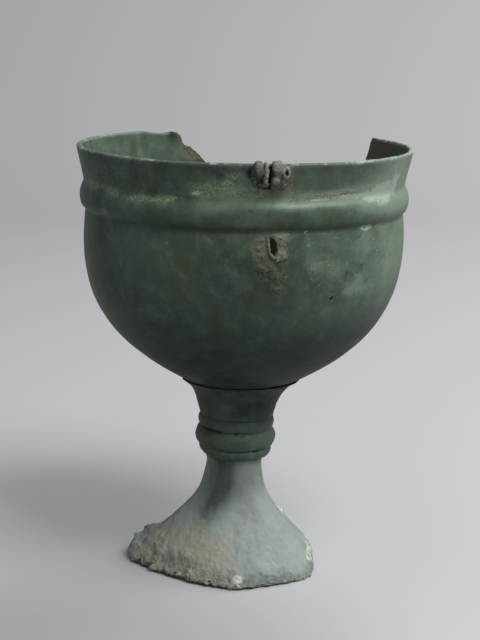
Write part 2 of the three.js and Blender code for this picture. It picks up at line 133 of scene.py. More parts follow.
# The first nine pale spots are pale mint crust and a painted highlight on the rib's right; the rest are pale
# specks.
PALE_SPOTS = (
    (-34.8, 75.4, 6.6, 2.8, 1.5), (-42, 74, 6, 1.9, 1.1), (-36, 71.8, 5.5, 1.8, 0.9),
    (-48.2, 74.7, 5, 0.9, 0.85), (-54.9, 74.7, 5, 0.8, 0.8), (-64.7, 74.4, 6, 0.6, 0.66),
    (-27.5, 78.6, 2.6, 3.2, 0.7), (-24, 81.5, 1.4, 3, 0.45), (-24, 72.5, 4, 2.4, 0.4),
    (-105.9, 76.3, 1.3, 0.8, 1.4), (-102.6, 75.8, 2.4, 0.4, 0.55), (-97, 79.4, 3, 1, 0.36),
    (-69.3, 63.5, 0.9, 0.7, 0.9), (-57, 60.9, 2.4, 0.5, 0.5), (-43.5, 63.2, 4.6, 0.8, 0.8),
    (-37.8, 55, 0.5, 0.5, 0.9), (-53, 51.8, 0.7, 0.7, 0.8), (-44.1, 57.4, 0.4, 0.4, 0.8),
    (-119.6, 77.9, 0.4, 0.4, 0.7), (-112, 78.6, 0.45, 0.45, 0.8), (-121, 61.5, 0.4, 0.4, 0.8),
    (-116.6, 58.6, 0.35, 0.35, 0.8), (-143, 75.4, 1.2, 0.7, 0.55), (-68.4, 58.5, 0.8, 3.2, 0.45),
    (-66.5, 50.5, 1.2, 2.6, 0.42), (-63.2, 47, 0.9, 2.4, 0.4), (-60, 52.5, 1.5, 1.2, 0.36),
)
MOUNT_STAINS = ((-92, 76.5, 9, 5, 1), (-73, 77, 7, 5, 1), (-88, 66, 9, 5, 0.7), (-99, 71.5, 8, 2.5, 0.9))
BROWN_SPOTS = (
    (-82, 76.5, 6, 2.6, 0.25), (-82.5, 47.5, 3.8, 5, 0.4), (-77.5, 57, 3.4, 4, 0.4),
    (-74, 81, 2.4, 4, 0.35), (-79, 67, 5, 4, 0.2), (-62, 56, 7, 6, 0.16),
)
# Painted shadows beside and under the hinge's left lug and round the torn slot, and a dark mark right of the
# hinge.
DARK_AND_SHADOW_SPOTS = (
    (-80.6, 59, 1.7, 3.4, 0.8), (-88.8, 84, 1, 2.6, 0.6), (-84.5, 79.8, 4.5, 1.3, 0.45),
    (-76.8, 86, 0.8, 2.5, 0.4),
)
GREY_SPOTS = (
    (-48.2, 42.2, 5, 2.4, 1.1), (-46.6, 45.6, 2.2, 2.8, 0.8), (-101, 60.8, 4, 1.8, 0.3),
    (-53, 44, 2.4, 2.6, 0.4),
)

# The pinhole, and outlines on the bowl, as azimuths and heights
PINHOLE = (166, 85.2)
TEAR = ((-81.9, 62.2), (-80.4, 61.7), (-79.5, 60.2), (-79.2, 57.6), (-80.1, 55.8), (-81.2, 57))
TORN_PLATE = ((-78.6, 60.4), (-77.2, 59.4), (-75.6, 54.8), (-79.6, 53.9), (-79, 57))
SOLDER_BED = (
    (-88.6, 58.6), (-87.6, 61.2), (-84.4, 62.7), (-77.6, 61.8), (-75.6, 60.2), (-74.8, 56),
    (-74.8, 48.6), (-76, 44.4), (-77.8, 42), (-81, 43.4), (-84, 46.9), (-86.4, 51), (-88.2, 55.6),
)

# Lumps of the hinge remains: place across, distance out, height, size and squareness
LUGS = (
    (-3.95, 2.3, 85.5, (1.6, 2.5, 2.7), 0.65), (-3.95, 0.9, 86.2, (1.5, 1.5, 1.6), 0.7),
    (2.5, 2.0, 86.2, (2.0, 2.4, 2.0), 0.6), (2.7, 0.8, 86.4, (1.8, 1.5, 1.5), 0.7),
    (1.9, 1.1, 81.7, (1.6, 1.7, 1.6), 0.9), (2.9, 1.1, 83.8, (1.5, 1.5, 1.3), 0.8),
    (-1.9, 0.4, 80.2, (2.0, 0.8, 1.0), 1),
)
STRIP = ((-1.5, 2.5, 85.0, (0.8, 1.8, 2.9), 0.6), (-1.5, 1.9, 82.6, (0.75, 0.8, 2.0), 0.6))

# The foot's flare and hollow as radii and heights, its bends, and the width of its worn edge
FLARE = ((10.3, 39.1), (12.4, 25.5), (12.4, 25.5), (38, 0))
HOLLOW = ((27, 0), (16, 14), (13, 19), (7, 29))
EDGE_BENDS = ((170, 4.6, 24, 3), (226, -11, 18, 6))
WORN_EDGE = 3.4

# Where the foot is broken off all round, as azimuths and radii
FOOT_OUTLINE = (
    (-42, 35.4), (-33, 35.8), (-25, 34.4), (-12, 31.9), (0, 31.2), (14, 32.1), (24, 33.2), (37, 32.4),
    (52, 34.1), (66, 33.2), (81, 34.9), (96, 33.6), (110, 35.3), (124, 34.6), (139, 37), (152, 38.2),
    (163, 39.4), (172, 39.2), (179, 38.8), (186, 37.6), (195, 34.8), (205, 32.4), (216, 30.6),
    (228, 29.6), (240, 29.6), (251, 30.6), (262, 31.8), (271, 33.6), (279, 33.8), (290, 33.3),
    (304, 33.9),
)

# Marks on the foot: azimuth, radius, half width, half depth and strength. Lumps have a height and a size.
FOOT_CRUST = (
    (275, 33.4, 3.2, 1.6, 1), (241, 29.6, 2.5, 1.4, 0.85), (251, 30.4, 2.5, 1.2, 0.7),
    (229, 29.2, 1.8, 1.4, 0.8), (206, 32, 2, 1.6, 1), (190, 33.5, 2.4, 1.8, 0.6),
    (200, 28.6, 3.4, 2, 0.8), (262, 31.4, 2, 1, 0.5), (217, 30.4, 2, 1, 0.6), (183, 29, 2.4, 2, 0.5),
)
FOOT_LUMPS = (
    (169, 30.4, 2.3, 2), (160, 33.6, 2.2, 1.6), (171, 35.8, 1.3, 1.6), (177, 37.4, 1, 1.2),
    (206, 31.6, 1, 1.8), (275, 32.6, 0.9, 1.6), (188, 18.3, 0.7, 1.3), (186, 28.6, 0.9, 1.5),
    (195, 27.4, 0.6, 1.2), (203, 27, 0.5, 1.3), (183, 32.6, 0.6, 1.8), (240, 29.4, 0.7, 1.5),
    (357, 30, 0.6, 1.1), (13, 19.5, 0.6, 1.2), (194, 21.5, 0.4, 1.2), (182, 23.5, 0.5, 1.4),
)
# Painted highlights: near-white glints on the foot's right edges.
FOOT_GLINTS = (
    (10, 18.6, 2, 1.8, 1), (16, 20.4, 1.8, 1.6, 0.9), (356, 30.2, 2.8, 1.2, 1), (12, 30.2, 3, 1, 0.9),
    (346, 31.2, 2.2, 1.3, 1), (338, 31.8, 1.6, 1, 0.9), (275, 33.4, 1.8, 0.8, 0.85),
    (206, 32.2, 1.2, 0.9, 0.75), (243, 29.7, 1.4, 0.7, 0.6), (232, 29.4, 0.8, 0.8, 0.6),
)


def tint(*rgb):
    """A colour from its usual 0 to 255 values, as Blender's shaders take it."""
    parts = [c / 255 for c in rgb]
    return (*(c / 12.92 if c < 0.04045 else ((c + 0.055) / 1.055) ** 2.4 for c in parts), 1)


def colour(name, description, *rgb):
    facts = {"name": name, "description": description, "default": tint(*rgb)}
    return FloatVectorProperty(subtype="COLOR", size=4, min=0, max=1, **facts)


def number(name, description, default, low=0, **kind):
    return FloatProperty(name=name, description=description, default=default, min=low, **kind)


def count(name, description, default, low):
    return IntProperty(name=name, description=description, default=default, min=low)


def length(name, description, millimetres):
    return number(name, description, millimetres * MM, unit="LENGTH", subtype="DISTANCE")


def angle(name, description, degrees):
    return number(name, description, math.radians(degrees), low=-math.pi, unit="ROTATION", subtype="ANGLE")


class StandSettings(bpy.types.PropertyGroup):
    """How the crooked cup stands."""

    stem_lean: angle("Stem lean", "How far the stem leans to the right", 2.8)
    bowl_lean: angle("Bowl lean", "How far the bowl leans to the right", 1.0)
    bowl_shift: length("Bowl shift", "How far the bowl was set off the stem's axis", 1.0)


class BowlSettings(bpy.types.PropertyGroup):
    """Sizes and fineness of the bowl."""

    wall: length("Wall", "Thickness of the bowl's wall", 1.7)
    dents: length("Dents", "Depth of the bowl's wide, shallow dents", 0.28)
    lip: length("Lip", "How far the rim's edge is rounded", 0.5)
    columns: count("Columns", "Faces round the bowl", 400, 64)
    rows: count("Rows", "Faces up the bowl's wall", 112, 32)


class StemSettings(bpy.types.PropertyGroup):
    """Sizes of the stem's and the foot's fine shapes."""

    columns: count("Columns", "Faces round the stem", 220, 48)
    foot_columns: count("Foot columns", "Faces round the foot", 440, 48)
    wobble: length("Wobble", "How far the turned rings are out of true", 0.3)
    corrosion: length("Corrosion", "Height of the crust on the foot", 0.35)


class FittingSettings(bpy.types.PropertyGroup):
    """Sizes of the hinge remains."""

    voxel: length("Voxel", "Fineness of the corroded lugs", 0.16)
    pitting: length("Pitting", "Depth of the pits in the lugs", 0.16)


# Patinas of the pieces, as deep, middle, light and hazy parts. The hazy colour also serves for painted
# highlights and painted light.
TONES = (("deep", "Dark parts"), ("mid", "Most"), ("light", "Light parts"), ("bloom", "Hazy layer"))
PATINAS = {
    "bowl": ((60, 74, 63), (77, 93, 80), (94, 113, 98), (140, 160, 142)),
    "stem": ((58, 71, 60), (85, 102, 88), (102, 122, 106), (112, 131, 116)),
    "foot": ((136, 143, 133), (156, 165, 157), (169, 181, 175), (170, 184, 182)),
    "fitting": ((52, 56, 48), (100, 103, 93), (120, 123, 112), (150, 152, 141)),
    "solder": ((78, 86, 72), (110, 118, 101), (128, 135, 118), (122, 128, 112)),
}


class PatinaSettings(bpy.types.PropertyGroup):
    """Colours of the corroded surfaces, with those used for painted shading, painted light and painted
    glints.
    """

    foot_crust: colour("Foot, crust", "Yellow-grey corrosion on the foot", 158, 163, 143)
    foot_pale: colour("Foot, chalk", "Pale corrosion on the foot", 200, 206, 186)
    foot_brown: colour("Foot, brown", "Brown-grey stains on the foot", 174, 171, 154)
    # Painted shade and dirt: the dark colour mixed into the bronze low on the bowl, deep inside it, under
    # the rib, on the calyx's shaded side and round the hinge.
    murk: colour("Murk", "Dirt in deep and sheltered places", 23, 32, 26)
    # Also the painted shadow colour on the foot: its break face, the ground under its edge and the old
    # fold's crease darken toward it.
    wash: colour("Wash", "Dark green stain that ran down the foot", 42, 55, 50)
    # Also the colour of the painted glint on the right lug and of the painted light on the leaf and pins.
    bone: colour("Bone", "Light brown edges on the hinge remains", 158, 154, 136)
    olive: colour("Olive", "Olive tint of the patina", 80, 86, 66)
    teal: colour("Teal", "Blue-green tint of the patina", 62, 88, 78)
    crust: colour("Crust", "Yellow-green corrosion", 128, 141, 114)
    # Also the colour of the painted highlight on the rib's right.
    pale: colour("Pale", "Pale mint corrosion and worn edges", 184, 198, 184)
    brown: colour("Brown", "Brown, bare or stained places", 96, 94, 79)
    # Also the colour of painted shadows: under the rib, in the open clefts, in the hinge's slot and pit,
    # round the torn slot and under the foot's raised edge.
    dark: colour("Pits", "Black-green pits and creases", 26, 33, 26)
    grey: colour("Blue-grey", "Blue-grey spots", 130, 150, 142)
    # Painted highlight: the near-white of the glints painted on the foot's right edges.
    chalk: colour("Chalk", "Chalky white glints", 226, 230, 220)

    for piece, rows in PATINAS.items():
        for (tone, what), rgb in zip(TONES, rows):
            name, about = f"{piece.capitalize()}, {tone}", f"{what} of the {piece}'s patina"
            __annotations__[f"{piece}_{tone}"] = colour(name, about, *rgb)
    del piece, rows, tone, what, rgb, name, about


class StageSettings(bpy.types.PropertyGroup):
    """Camera, light and backdrop."""

    key: number("Key light", "Power of the soft light in front", 15, unit="POWER")
    side: number("Side light", "Power of the light on the right", 8, unit="POWER")
    ambient: number("Ambient", "Strength of the even light", 0.3)
    bounce: colour("Bounce", "Colour of the sweep as it lights the cup", 140, 140, 142)
    # Painted light falloff: the sweep is darker on the left than on the right. Its near colour is a painted
    # shadow on the floor in front of the cup.
    sweep_left: colour("Sweep, left", "Colour of the sweep on the left", 211, 212, 215)
    sweep_near: colour("Sweep, near", "Colour of the floor in front of the cup", 191, 191, 194)
    sweep_right: colour("Sweep, right", "Colour of the sweep on the right", 217, 217, 218)
    lens: number("Lens", "Focal length in millimetres", 92.61, low=1)
    camera_place: FloatVectorProperty(
        name="Camera", description="Where the camera stands", subtype="TRANSLATION", unit="LENGTH",
        default=(-0.001837, -0.597305, 0.22033),
    )
    camera_tilt: angle("Tilt", "How far the camera looks down", 11.922)


def stand_matrix():
    """The stem's frame: its origin on the table, under the stem's axis."""
    lean = bpy.context.scene.chalice_stand.stem_lean
    low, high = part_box("knop")
    middle = (low + high) / 2
    foot = Vector((middle.x - math.tan(lean) * middle.z, middle.y, 0))
    return Matrix.Translation(foot) @ Matrix.Rotation(lean, 4, "Y")


def bowl_matrix():
    """The bowl's frame: its origin on the stem's seat, with the bowl's own lean."""
    stand = bpy.context.scene.chalice_stand
    seat = Matrix.Translation((stand.bowl_shift, 0, BOWL_BASE * MM))
    return stand_matrix() @ seat @ Matrix.Rotation(stand.bowl_lean - stand.stem_lean, 4, "Y")


def curve(points, steps=60):
    """Points along a Bezier curve with any number of control points."""
    found = []
    for i in range(steps + 1):
        row = [Vector(p) for p in points]
        while len(row) > 1:
            row = [a.lerp(b, i / steps) for a, b in zip(row, row[1:])]
        found.append(tuple(row[0]))
    return found


class Path:
    """A drawn line that gives a point, and the way it faces, at any distance along it."""

    def __init__(self, points, softness=0.0, step=0.2):
        line = np.array(points, float)
        keep = np.append(True, np.hypot(*np.diff(line, axis=0).T) > 1e-6)
        line = line[keep]
        along = np.append(0, np.cumsum(np.hypot(*np.diff(line, axis=0).T)))
        self.along = np.linspace(0, along[-1], max(int(along[-1] / step), 2) + 1)
        even = np.column_stack([np.interp(self.along, along, line[:, i]) for i in (0, 1)])
        if softness:
            reach = int(3 * softness / step)
            weights = np.exp(-0.5 * (np.arange(-reach, reach + 1) * step / softness) ** 2)
            padded = np.pad(even, ((reach, reach), (0, 0)), "reflect", reflect_type="odd")
            weights = weights / weights.sum()
            even = np.column_stack([np.convolve(padded[:, i], weights, "valid") for i in (0, 1)])
        self.x, self.y = even.T
        self.length = self.along[-1]
        slope = np.gradient(even, axis=0)
        self.tangent = slope / np.maximum(np.hypot(*slope.T), 1e-9)[:, None]

    def at(self, distance):
        return np.interp(distance, self.along, self.x), np.interp(distance, self.along, self.y)

    def facing(self, distance):
        """Unit steps across the line, to the right of its direction, and along it."""
        along = [np.interp(distance, self.along, self.tangent[:, i]) for i in (0, 1)]
        size = np.hypot(*along)
        return (along[1] / size, -along[0] / size), (along[0] / size, along[1] / size)


def fractal(points, size, octaves=3, seed=0):
    """Smooth noise between about -1 and 1, with bumps of the given size in millimetres."""
    shift = Vector((seed * 17.3, seed * 5.1, seed * 9.7))
    return np.array([noise.fractal(Vector(p) / size + shift, 1.0, 2.0, octaves) for p in points])


def ring_noise(azimuth, radius, *layers):
    """Noise round a circle, without a seam. Each layer has a strength, a size of bumps and a seed."""
    points = round_points(radius, azimuth, 0)
    return sum(strength * fractal(points, size, 3, seed) for strength, size, seed in layers)


def bell(value, width=1):
    """One where the value is nought, and less and less as it goes past the width."""
    return np.exp(-((value / width) ** 2))


def ease(value, low, high):
    """Nought up to the low value and one from the high value on, with a smooth rise between."""
    t = np.clip((value - low) / (high - low), 0, 1)
    return t * t * (3 - 2 * t)


def plateau(value, start, full, wane, end):
    return ease(value, start, full) * (1 - ease(value, wane, end))


def sector(azimuth, start, full, wane, end):
    """One between two azimuths and nothing beyond, without a seam at the back. The four azimuths rise."""
    turn = (azimuth - (start + end) / 2 + 180) % 360 + (start + end) / 2 - 180
    return plateau(turn, start, full, wane, end)


def inside(polygon, x, y):
    """Whether each point lies in the polygon."""
    found = np.zeros(np.shape(x), bool)
    for (x0, y0), (x1, y1) in zip(polygon, polygon[1:] + polygon[:1]):
        crosses = (y0 > y) != (y1 > y)
        found ^= crosses & (x < (x1 - x0) * (y - y0) / ((y1 - y0) or 1e-9) + x0)
    return found


def border_distance(polygon, x, y):
    """Each point's distance to the polygon's border, and the nearest point on it."""
    best = np.full(np.shape(x), 1e9)
    near = np.zeros(np.shape(x) + (2,))
    for (x0, y0), (x1, y1) in zip(polygon, polygon[1:] + polygon[:1]):
        span = (x1 - x0) ** 2 + (y1 - y0) ** 2
        t = np.clip(((x - x0) * (x1 - x0) + (y - y0) * (y1 - y0)) / span, 0, 1)
        px, py = x0 + t * (x1 - x0), y0 + t * (y1 - y0)
        gap = np.hypot(x - px, y - py)
        closer = gap < best
        best = np.where(closer, gap, best)
        near[closer] = np.column_stack([px, py])[closer]
    return best, near


def spun(rows, columns, closed):
    """The profile spun round Z. Each vertex keeps its row's number."""
    bm = bmesh.new()
    row = bm.verts.layers.int.new("row")
    verts = []
    for i, (x, z) in enumerate(rows):
        vert = bm.verts.new((x, 0, z))
        vert[row] = i
        verts.append(vert)
    ring = verts[1:] + verts[:1] if closed else verts[1:]
    edges = [bm.edges.new(pair) for pair in zip(verts, ring)]
    about = {"cent": (0, 0, 0), "axis": (0, 0, 1), "dvec": (0, 0, 0)}
    wedge = 2 * math.pi / SECTORS
    bmesh.ops.spin(bm, geom=verts + edges, angle=wedge, steps=columns // SECTORS, **about)
    sheet, rest = [*bm.verts, *bm.edges, *bm.faces], 2 * math.pi - wedge
    bmesh.ops.spin(bm, geom=sheet, angle=rest, steps=SECTORS - 1, use_duplicate=True, **about)
    seams = [v for v in bm.verts if v.is_boundary]
    bmesh.ops.remove_doubles(bm, verts=seams, dist=1e-4)
    bmesh.ops.recalc_face_normals(bm, faces=bm.faces)
    return bm


def places(bm):
    """The rows and the azimuths, in degrees, of a spun mesh's vertices."""
    layer = bm.verts.layers.int["row"]
    rows = np.array([v[layer] for v in bm.verts])
    azimuths = np.degrees(np.array([math.atan2(v.co.y, v.co.x) for v in bm.verts]))
    return rows, azimuths


def polar(points):
    """The points' distances from Z and their azimuths in degrees."""
    x, y = points[:, 0], points[:, 1]
    return np.hypot(x, y), np.degrees(np.arctan2(y, x))


def vertices(bm):
    return np.array([v.co[:] for v in bm.verts])


def move_all(bm, points):
    for vert, point in zip(bm.verts, points):
        vert.co = point


def round_points(radius, azimuth, height):
    turn = np.radians(azimuth)
    return np.column_stack(np.broadcast_arrays(radius * np.cos(turn), radius * np.sin(turn), height))


def linked(name, bm):
    """The bmesh as an object in the scene."""
    mesh = bpy.data.meshes.new(name)
    bm.to_mesh(mesh)
    bm.free()
    mesh.polygons.foreach_set("use_smooth", [True] * len(mesh.polygons))
    obj = bpy.data.objects.new(name, mesh)
    bpy.context.scene.collection.objects.link(obj)
    return obj


def finished(name, bm, matrix, slot, *nodes):
    """Makes the bmesh an object in metres, at the origin, that stands for its CAD nodes."""
    bmesh.ops.transform(bm, matrix=matrix @ Matrix.Scale(MM, 4), verts=bm.verts)
    obj = linked(name, bm)
    if "row" in obj.data.attributes:
        obj.data.attributes.remove(obj.data.attributes["row"])
    obj.data.materials.append(bpy.data.materials[MATERIALS[slot][0]])
    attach(obj, "root")
    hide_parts(*nodes)
    return obj


def paint(obj, **marks):
    """Stores how strongly each kind of corrosion, and the painted shading and painted light, covers each
    vertex: 0 to 1, the sum of its parts.
    """
    # Painted shade: the corrosion layer's last part darkens the colour toward the stain colour, for real
    # stains and painted shade alike. Painted light: the wear layer's third part lightens the colour, and its
    # last part holds a haze together with painted highlights.
    layers = {"corrosion": ("crust", "pale", "brown", "shade"), "wear": ("dark", "spot", "light", "bloom")}
    for name, kinds in layers.items():
        layer = obj.data.attributes.new(name, "FLOAT_COLOR", "POINT")
        values = np.zeros((len(obj.data.vertices), 4), np.float32)
        for i, kind in enumerate(kinds):
            parts = marks.get(kind, 0)
            values[:, i] = np.clip(sum(parts) if isinstance(parts, tuple) else parts, 0, 1)
        layer.data.foreach_set("color", values.ravel())


def in_frame(obj, matrix):
    """The object's vertices in that frame, in millimetres, as radius, azimuth and height."""
    inverse = np.array(Matrix.Scale(1 / MM, 4) @ matrix.inverted())
    points = np.empty(len(obj.data.vertices) * 3)
    obj.data.vertices.foreach_get("co", points)
    points = points.reshape(-1, 3) @ inverse[:3, :3].T + inverse[:3, 3]
    return points, *polar(points)


# Materials


class Shader:
    """Short ways to add and join the nodes of one material."""

    def __init__(self, name):
        self.material = bpy.data.materials.new(name)
        self.material.use_nodes = True
        self.nodes = self.material.node_tree.nodes
        self.links = self.material.node_tree.links
        self.surface = self.nodes["Principled BSDF"]
        self.object = self.add("TexCoord")["Object"]

    def add(self, kind, inputs=(), **settings):
        """A new node of that kind, with values or sockets for its inputs. Gives its outputs."""
        node = self.nodes.new("ShaderNode" + kind)
        for key, value in settings.items():
            setattr(node, key, value)
        self.fill(node, inputs)
        return node.outputs

    def fill(self, node, inputs):
        for key, value in dict(inputs).items():
            if isinstance(value, bpy.types.NodeSocket):
                self.links.new(value, node.inputs[key])
            else:
                node.inputs[key].default_value = value

    def math(self, operation, *values, clamp=False):
        return self.add("Math", enumerate(values), operation=operation, use_clamp=clamp)[0]

    def total(self, *parts):
        """The sum of sockets, each times its weight."""
        found = 0.0
        for value, weight in parts:
            found = self.math("MULTIPLY_ADD", value, weight, found)
        return found

    def noise(self, size, detail=4.0, roughness=0.55, stretch=None, distortion=0.0):
        """Noise with bumps of the given size in millimetres."""
        place = self.object
        if stretch:
            place = self.add("Mapping", {"Vector": place, "Scale": stretch})["Vector"]
        inputs = {"Vector": place, "Scale": 1 / (size * MM), "Distortion": distortion}
        return self.add("TexNoise", {**inputs, "Detail": detail, "Roughness": roughness})["Fac"]

    def between(self, value, low, high, to_low=0.0, to_high=1.0):
        inputs = {"Value": value, "From Min": low, "From Max": high, "To Min": to_low, "To Max": to_high}
        return self.add("MapRange", inputs, interpolation_type="SMOOTHSTEP")["Result"]

    def mix(self, factor, a, b):
        return self.add("Mix", {0: factor, 6: a, 7: b}, data_type="RGBA")[2]

    def ramp(self, value, stops):
        ramp = self.nodes.new("ShaderNodeValToRGB")
        self.fill(ramp, {0: value})
        elements = ramp.color_ramp.elements
        while len(elements) < len(stops):
            elements.new(0.5)
        for element, (position, rgba) in zip(elements, stops):
            element.position = position
            element.color = rgba
        return ramp.outputs[0]

    def layers(self, name):
        """The four strengths that a piece stores under that name."""
        stored = self.add("Attribute", attribute_name=name)
        return *self.add("SeparateColor", {0: stored["Color"]}), stored["Alpha"]

    def covered(self, strength, pattern, low=0.95, high=1.45, contrast=1.7):
        """Where a layer lies: whole where it is strong, and broken up by the pattern where it is weak."""
        return self.between(self.total((strength, 1.0), (pattern, contrast)), low, high)

    def bump(self, height, distance, strength, under=()):
        """A normal bumped by that height, on top of another bump."""
        inputs = {"Strength": strength, "Distance": distance * MM, "Height": height}
        return self.add("Bump", {**inputs, **dict(under)})[0]


def scaled(rgba, amount):
    """The colour made darker or lighter."""
    return tuple(amount * c for c in rgba[:3]) + (1,)


def patina(name, tones, marks, stain, gloss, metal, grain=1.0, drip=0.22, tinted=1.0):
    """A corroded bronze surface: mottled patina under crust, haze, stains and pits, with painted shading,
    painted light and painted highlights.
    """
    deep, mid, light, bloom = tones
    crust_tone, pale_tone, brown_tone, spot_and_glint_tone = marks
    olive, teal, pits = patina_tones("olive", "teal", "dark")
    shader = Shader(name)
    broad = shader.noise(24, 5)
    cloud = shader.noise(6, 6, 0.62, distortion=0.5)
    hue = shader.noise(13, 4, stretch=(1.3, 0.9, 0.8))
    runs = shader.noise(3.2, 5, 0.6, stretch=(1, 1, drip))
    fine = shader.noise(1.2, 5, 0.62)
    speck = shader.noise(0.5, 3, 0.6)
    crust, pale, brown, shade = shader.layers("corrosion")
    dark, spots_and_glints, thin, haze = shader.layers("wear")

    # Painted light: the wear layer's third part lifts the tone toward the light colours.
    tone = shader.total((broad, 0.5), (cloud, 0.28), (runs, 0.1), (fine, 0.12 * grain), (thin, 0.3))
    base = shader.ramp(tone, ((0.37, deep), (0.53, mid), (0.74, light)))
    base = shader.mix(shader.between(hue, 0.5, 0.72, 0, 0.5 * tinted), base, olive)
    base = shader.mix(shader.between(hue, 0.46, 0.3, 0, 0.4 * tinted), base, teal)
    blotch = shader.total((cloud, 0.55), (fine, 0.3), (runs, 0.15))
    speckle = shader.total((cloud, 0.25), (fine, 0.45), (speck, 0.3))
    # The haze layer holds real bloom and also painted highlights and painted light.
    base = shader.mix(shader.covered(haze, blotch, 0.45, 1.35, contrast=1.0), base, bloom)
    base = shader.mix(shader.between(speck, 0.64, 0.74, 0, 0.22), base, bloom)
    base = shader.mix(shader.between(fine, 0.36, 0.26, 0, 0.3), base, pits)
    # Painted shade: the colour goes toward the stain colour where shade is painted, and where there are real
    # stains.
    base = shader.mix(shader.math("MULTIPLY", shade, 0.8), base, stain)

    # The spot layer holds blue-grey spots and, on the foot, painted glints.
    on_spot_and_glint = shader.covered(spots_and_glints, blotch, 0.9, 1.7)
    on_brown = shader.covered(brown, blotch)
    on_crust = shader.covered(crust, speckle, 2.25, 2.72, 3.6)
    on_pale = shader.covered(pale, speckle, 1.88, 2.45, 3.0)
    on_dark = shader.covered(dark, speckle)
    grains = shader.between(speck, 0.38, 0.64)
    skin = shader.mix(on_spot_and_glint, base, spot_and_glint_tone)
    skin = shader.mix(on_brown, skin, shader.mix(fine, scaled(brown_tone, 0.6), scaled(brown_tone, 1.3)))
    skin = shader.mix(on_crust, skin, shader.mix(grains, scaled(crust_tone, 0.65), scaled(crust_tone, 1.5)))
    skin = shader.mix(on_pale, skin, shader.mix(fine, scaled(pale_tone, 0.75), scaled(pale_tone, 1.2)))
    skin = shader.mix(on_dark, skin, pits)

    rough = shader.between(cloud, 0.3, 0.7, gloss - 0.05, gloss + 0.07)
    matt = shader.math("MAXIMUM", on_crust, on_pale)
    rough = shader.math("ADD", rough, shader.math("MULTIPLY", matt, 0.28), clamp=True)
    # Less specular reflection where shade is painted.
    shine = shader.between(shade, 0, 0.9, 0.22, 0.03)
    raised = shader.total((on_crust, 0.6), (on_pale, 0.4), (on_dark, -0.6), (on_brown, -0.2))
    normal = shader.bump(cloud, 0.5, 0.35)
    normal = shader.bump(fine, 0.16 * grain, 0.6, {"Normal": normal})
    normal = shader.bump(raised, 0.2, 0.7, {"Normal": normal})
    inputs = {"Base Color": skin, "Roughness": rough, "Metallic": metal, "Normal": normal}
    shader.fill(shader.surface, {**inputs, "Specular IOR Level": shine})


def patina_tones(*names):
    return [tuple(getattr(bpy.context.scene.chalice_patina, name)) for name in names]


# Each slot's material, the tones and marks it takes, the colour of its stains and painted shade, and its
# finish
GREEN = ("crust", "pale", "brown", "grey")
EARTHY = ("crust", "bone", "brown", "chalk")
# The foot's spot colour is the near-white of its painted glints.
CHALKY = ("foot_crust", "foot_pale", "foot_brown", "chalk")
MATERIALS = {
    "bowl_bronze": (
        "bowl_patina", "bowl", GREEN, "murk", {"gloss": 0.42, "metal": 0.1, "grain": 0.7, "drip": 0.7},
    ),
    "stem_bronze": ("stem_patina", "stem", GREEN, "murk", {"gloss": 0.46, "metal": 0.1, "grain": 0.8}),
    "foot_bronze": (
        "foot_patina", "foot", CHALKY, "wash",
        {"gloss": 0.6, "metal": 0, "grain": 1.4, "drip": 1, "tinted": 0.3},
    ),
    "fitting_bronze": (
        "fitting_patina", "fitting", EARTHY, "murk", {"gloss": 0.55, "metal": 0.1, "grain": 1.5},
    ),
    "solder": ("solder_crust", "solder", EARTHY, "murk", {"gloss": 0.66, "metal": 0, "grain": 1.6}),
}


def make_materials():
    for name, piece, marks, stain, finish in MATERIALS.values():
        tones = patina_tones(*(f"{piece}_{tone}" for tone, _ in TONES))
        patina(name, tones, patina_tones(*marks), *patina_tones(stain), **finish)


# Bowl


class Bowl:
    """The bowl's wall as a surface that takes an azimuth and a distance up the wall."""

    def __init__(self):
        settings = bpy.context.scene.chalice_bowl
        self.wall = settings.wall / MM
        self.lip = settings.lip / MM
        self.dents = settings.dents / MM
        self.path = Path([p for part in BOWL_CURVES for p in curve(part)], softness=0.5)
        self.path.x -= 0.35 * bell(self.path.y - RIB_EDGE, 0.7)
        self.full = self.up_to(RIM_HEIGHT - self.lip)
        self.fixed = self.up_to(BREAK_FLOOR)

    def up_to(self, height):
        """Distance up the wall to a height above the seat."""
        return np.interp(height, self.path.y, self.path.along)

    def top(self, azimuth):
        """Distance up the wall at which it ends, at that azimuth."""
        drops = np.array(RIM_BREAK)
        drop = np.interp(azimuth, drops[:, 0], drops[:, 1], left=0, right=0)
        broken = ease(drop, 0.3, 3)
        drop = drop + broken * ring_noise(azimuth, 60, (0.55, 2.6, 3), (0.2, 0.9, 4))
        drop = drop + ring_noise(azimuth, 60, (0.16, 14, 5), (0.05, 3, 6))
        return self.up_to(RIM_HEIGHT - self.lip - np.maximum(drop, -0.02))

    def place(self, azimuth, distance, depth, rise=0.0):
        """Points in the wall: depth runs from 0 on its outside to 1 on its inside."""
        x, y = self.path.at(distance)
        (out_x, out_y), (up_x, up_y) = self.path.facing(distance)
        outside = round_points(x, azimuth, y)
        strength = ease(y, 4, 16)
        push = strength * (self.dents * fractal(outside, 34, 2, 1) + 0.07 * fractal(outside, 7, 3, 2))
        thick = self.wall * (1 + 0.12 * fractal(outside, 12, 2, 7) * strength)
        lump = bell(azimuth - 118.6, 2.4) * ease(distance, self.full - 4.5, self.full - 1)
        rough = 1 + 0.8 * fractal(outside, 1.6, 3, 9)
        push = push - thick * depth - lump * rough * (1.5 * depth - 0.5)
        return round_points(x + out_x * push + up_x * rise, azimuth, y + out_y * push + up_y * rise)

    def radius(self, height):
        return np.interp(height, self.path.y, self.path.x)


def columns_of(azimuth, columns):
    """Which column of a spun mesh each vertex is in."""
    return np.round((azimuth % 360) / 360 * columns).astype(int) % columns


